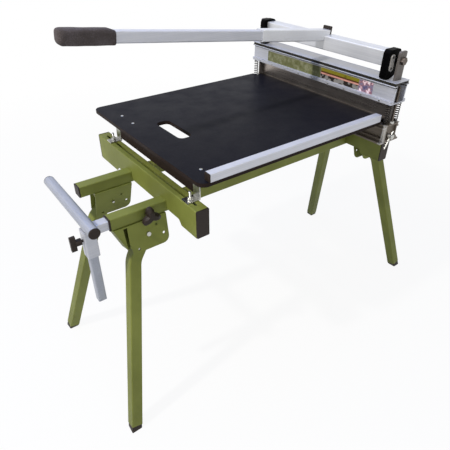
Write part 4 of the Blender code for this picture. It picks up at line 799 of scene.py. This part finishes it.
# %% [markdown]
# ## Blade screws
#
# A row of socket screws along the upper beam's lower lip clamps the blade. Each head is a short cylinder with
# a rounded rim and a hexagon socket. An array would copy one screw along the lip. A loop gives each screw a
# name of its own.

# %% Socket screws along the lip
SCREW_COUNT, SCREW_PITCH, SCREW_HEAD, SCREW_RISE = 9, 78.0, 3.2, 5.5
beam_middle = (beam_low.y + beam_high.y) / 2
socket_steps = [(0.02, SCREW_HEAD), (1.2, SCREW_HEAD), (1.6, SCREW_HEAD * 0.9), (1.7, SCREW_HEAD * 0.76),
                (1.7, hexagon(SCREW_HEAD * 0.5)), (0.4, hexagon(SCREW_HEAD * 0.48))]
for number in range(SCREW_COUNT):
    along = (number - SCREW_COUNT // 2) * SCREW_PITCH * MM
    place = Vector((beam_low.x, beam_middle + along, beam_low.z + SCREW_RISE * MM))
    piece(f"blade_screw_{number}", turned(place, (-1, 0, 0), socket_steps), zinc, "blade_beam")
print(SCREW_COUNT, "screws,", SCREW_PITCH, "mm apart")

# %% [markdown]
# ## Lock pins of the legs
#
# A spring pin in each leg snaps into a hole of its bracket. Through the hole its end shows as a bright dot.
# The hole is 53 mm from the pivot, below it and towards the stand's end, and the plate leans with the leg.
# Only the pin's end is made, since the tube hides the rest. It rides on the leg, so it folds away with it.

# %% Pin ends behind the lock holes
LEG_LEAN = math.radians(13.96)
PIVOT_X, PIVOT_Y, PIVOT_Z = 534.0, 124.18, 649.0
PIN_REACH = 53.0 * math.cos(math.radians(45))
LEG_FACE = 19.0
pin_steps = [(0.02, 3.8), (0.2, 3.7), (0.34, 3.0), (0.36, 1.0)]
for end, x_sign in (("left", -1), ("right", 1)):
    for face, y_sign in (("front", -1), ("rear", 1)):
        up = Vector((0, -y_sign * math.sin(LEG_LEAN), math.cos(LEG_LEAN)))
        out = Vector((0, y_sign * math.cos(LEG_LEAN), math.sin(LEG_LEAN)))
        place = spot(x_sign * PIVOT_X, y_sign * PIVOT_Y, PIVOT_Z)
        place += (Vector((x_sign, 0, 0)) - up) * PIN_REACH * MM + out * LEG_FACE * MM
        corner_name = face + "_" + end
        piece(corner_name + "_lock_pin", turned(place, out, pin_steps), zinc, corner_name + "_leg")
print("four pins,", round(PIN_REACH, 1), "mm out and down from the pivots")

# %% [markdown]
# ## Foam grip
#
# A foam sleeve is pushed over the lever's end while wet with glue. It has soft corners, a closed and rounded
# far end and a slanting top edge where it was cut. Foam gives a little, so its skin is never quite even: the
# rings below waver by a fraction of a millimetre. It could be a block that is smoothed by subdivision; lofted
# rings give the slanting cut and the rounded end at once. The sleeve is hollow for the tube, like the real
# one.

# %% Soft rings about the lever
LEVER_SLOPE = math.radians(6.35)
LEVER_RISE = 21.5
GRIP_HALF, GRIP_SIDES = 21.0, 56
lever_pivot = spot(355, 40, 1056.3)
lever_along = Vector((-math.cos(LEVER_SLOPE), 0, math.sin(LEVER_SLOPE)))
lever_above = Vector((math.sin(LEVER_SLOPE), 0, math.cos(LEVER_SLOPE)))


def grip_ring(reach, wide, low, high, squareness, waver=0.0):
    """A soft rectangle about the lever, at a distance from the pivot, in mm."""
    ring = []
    for i in range(GRIP_SIDES):
        a = 2 * math.pi * i / GRIP_SIDES
        tall = high if math.sin(a) > 0 else low
        across = wide * math.copysign(abs(math.cos(a)) ** (2 / squareness), math.cos(a))
        rise = tall * math.copysign(abs(math.sin(a)) ** (2 / squareness), math.sin(a))
        swell = 1 + waver * (math.sin(reach / 9 + 2 * a) + math.sin(reach / 23 - 3 * a)) / GRIP_HALF
        place = lever_pivot + lever_along * reach * MM + lever_above * (LEVER_RISE + rise * swell) * MM
        ring.append(place + Vector((0, across * swell * MM, 0)))
    return ring


print("a grip ring has", GRIP_SIDES, "points")

# %% Lofted foam sleeve
GRIP_START, GRIP_END, TUBE_END, TUBE_HALF = 846.0, 997.0, 990.4, 16.0
TUBE_SQUARE, GRIP_SQUARE, END_SQUARE = 9, 4.4, 4.0
CUT_LENGTH, RING_STEP, RING_COUNT, END_ROUND, END_STEPS = 16, 4.1, 30, 13.5, 6
CUT_EDGE = ((0.0, 19.6, 16.6), (1.5, 20.6, 17.0), (5.0, 21.0, 18.0), (10.0, 21.0, 19.4), (16.0, 21.0, 21.0))
rings = [grip_ring(reach, TUBE_HALF, TUBE_HALF, TUBE_HALF, TUBE_SQUARE) for reach in (TUBE_END, GRIP_START)]
for forward, wide, high in CUT_EDGE:
    rings.append(grip_ring(GRIP_START + forward, wide, wide, high, GRIP_SQUARE, 0.1))
for step in range(1, RING_COUNT):
    reach = GRIP_START + CUT_LENGTH + RING_STEP * step
    rings.append(grip_ring(reach, GRIP_HALF, GRIP_HALF, GRIP_HALF, GRIP_SQUARE, 0.18))
for step in range(END_STEPS + 1):
    a = math.pi / 2 * step / END_STEPS
    inward = 1 - math.cos(a)
    rings.append(grip_ring(GRIP_END - END_ROUND * (1 - math.sin(a)), GRIP_HALF - 9 * inward,
                           GRIP_HALF - 12 * inward, GRIP_HALF - 7 * inward, END_SQUARE))
grip = piece("foam_sleeve", rings, foam, "lever")
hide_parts("foam_grip")
print("foam sleeve,", len(grip.data.vertices), "points")

# %% [markdown]
# ## Printed films on the beam
#
# The side of the upper beam carries printed film in three fields. The prints here are plain patterns: a
# mottled olive strip, an ochre field with a pale red line over dark blocks, and a violet one with pale blots.
# The blots are about 16 mm across. A print is usually a picture, but noise and cells are enough for these.
# Each film is a quarter of a millimetre thick with rounded corners.

# %% What the films share
WEB_SET_BACK = 9.0 * MM
BLOT = 16 * MM
beam_web = beam_low.x + WEB_SET_BACK
FILM_LOW, FILM_HIGH = beam_low.z + 12.5 * MM, beam_low.z + 52.0 * MM
films = {}


def start_film(name):
    """A satin film and a noise for its blots; returns its tree, its shader, the place and the noise."""
    film, tree, shader = start_material("printed_film_" + name, Roughness=0.4, IOR=1.5,
                                        Specular_IOR_Level=0.4)
    films[name] = film
    place = add(tree, "ShaderNodeTexCoord").outputs["Object"]
    blots = add(tree, "ShaderNodeTexNoise", {"Vector": place, "Scale": 1 / BLOT, "Detail": 3.0})
    return tree, shader, place, blots.outputs["Fac"]


print("films are", round((FILM_HIGH - FILM_LOW) / MM, 1), "mm high")

# %% Olive and violet film
OLIVE = [(0.3, "5f6136"), (0.5, "72744a"), (0.72, "979878")]
VIOLET = [(0.34, "5d5478"), (0.46, "8e8298"), (0.52, "8e5f6a"), (0.58, "efc9d2"), (0.68, "fbf4f6")]
for name, stops in (("olive", OLIVE), ("violet", VIOLET)):
    tree, shader, place, blots = start_film(name)
    skin = add(tree, "ShaderNodeValToRGB", {"Fac": blots}, stops)
    tree.links.new(skin.outputs["Color"], shader.inputs["Base Color"])
print([film.name for film in films.values()])

# %% Ochre film
LINE_LOW, LINE_HIGH, FIELD_LOW = 0.42, 0.56, 0.7
BLOCK = 17 * MM
tree, shader, place, blots = start_film("ochre")
apart = add(tree, "ShaderNodeSeparateXYZ", {0: place})
height = add(tree, "ShaderNodeMapRange", {"Value": apart.outputs["Z"], "From Min": FILM_LOW,
                                          "From Max": FILM_HIGH}).outputs["Result"]
bands = add(tree, "ShaderNodeValToRGB", {"Fac": height},
            [(0.0, "8d8a84"), (LINE_LOW, "e0a090"), (LINE_HIGH, "57360f"), (FIELD_LOW, "8a8220")])
bands.color_ramp.interpolation = "CONSTANT"
blocks = add(tree, "ShaderNodeTexVoronoi", {"Vector": place, "Scale": 1 / BLOCK})
dark = add(tree, "ShaderNodeMath", {0: blocks.outputs["Distance"], 1: 0.5}, operation="GREATER_THAN")
under = add(tree, "ShaderNodeMath", {0: height, 1: LINE_LOW}, operation="LESS_THAN")
dark = add(tree, "ShaderNodeMath", {0: dark.outputs[0], 1: under.outputs[0]}, operation="MULTIPLY")
patched = add(tree, "ShaderNodeMix", {"Factor": dark.outputs[0], 6: bands.outputs["Color"],
                                      7: colour("241f1a")}, data_type="RGBA")
speck = add(tree, "ShaderNodeMapRange", {"Value": blots, "From Min": 0.55, "From Max": 0.7, "To Max": 0.5})
skin = add(tree, "ShaderNodeMix", {"Factor": speck.outputs["Result"], 6: patched.outputs[2],
                                   7: colour("4a3c10")}, data_type="RGBA")
tree.links.new(skin.outputs[2], shader.inputs["Base Color"])
print(films["ochre"].name)

# %% Film pieces
FILM_THICK, FILM_CORNER, FILM_GAP = 0.25 * MM, 2.0 * MM, 0.02 * MM
FIELDS = (("olive", 271, -30), ("ochre", -31, -211), ("violet", -212, -272))
for name, near, away in FIELDS:
    y_high, y_low = beam_middle + near * MM, beam_middle + away * MM
    outline = []
    for y, z, start in ((y_high, FILM_HIGH, 0), (y_low, FILM_HIGH, 90), (y_low, FILM_LOW, 180),
                        (y_high, FILM_LOW, 270)):
        inset_y = y - math.copysign(FILM_CORNER, y - (y_high + y_low) / 2)
        inset_z = z - math.copysign(FILM_CORNER, z - (FILM_HIGH + FILM_LOW) / 2)
        for turn_by in (0, 30, 60, 90):
            a = math.radians(start + turn_by)
            outline.append((inset_y + FILM_CORNER * math.cos(a), inset_z + FILM_CORNER * math.sin(a)))
    rings = [[(x, y, z) for y, z in outline] for x in (beam_web - FILM_GAP, beam_web - FILM_THICK)]
    piece("film_" + name, rings, films[name], "blade_beam")
print(len(FIELDS), "films on the beam")
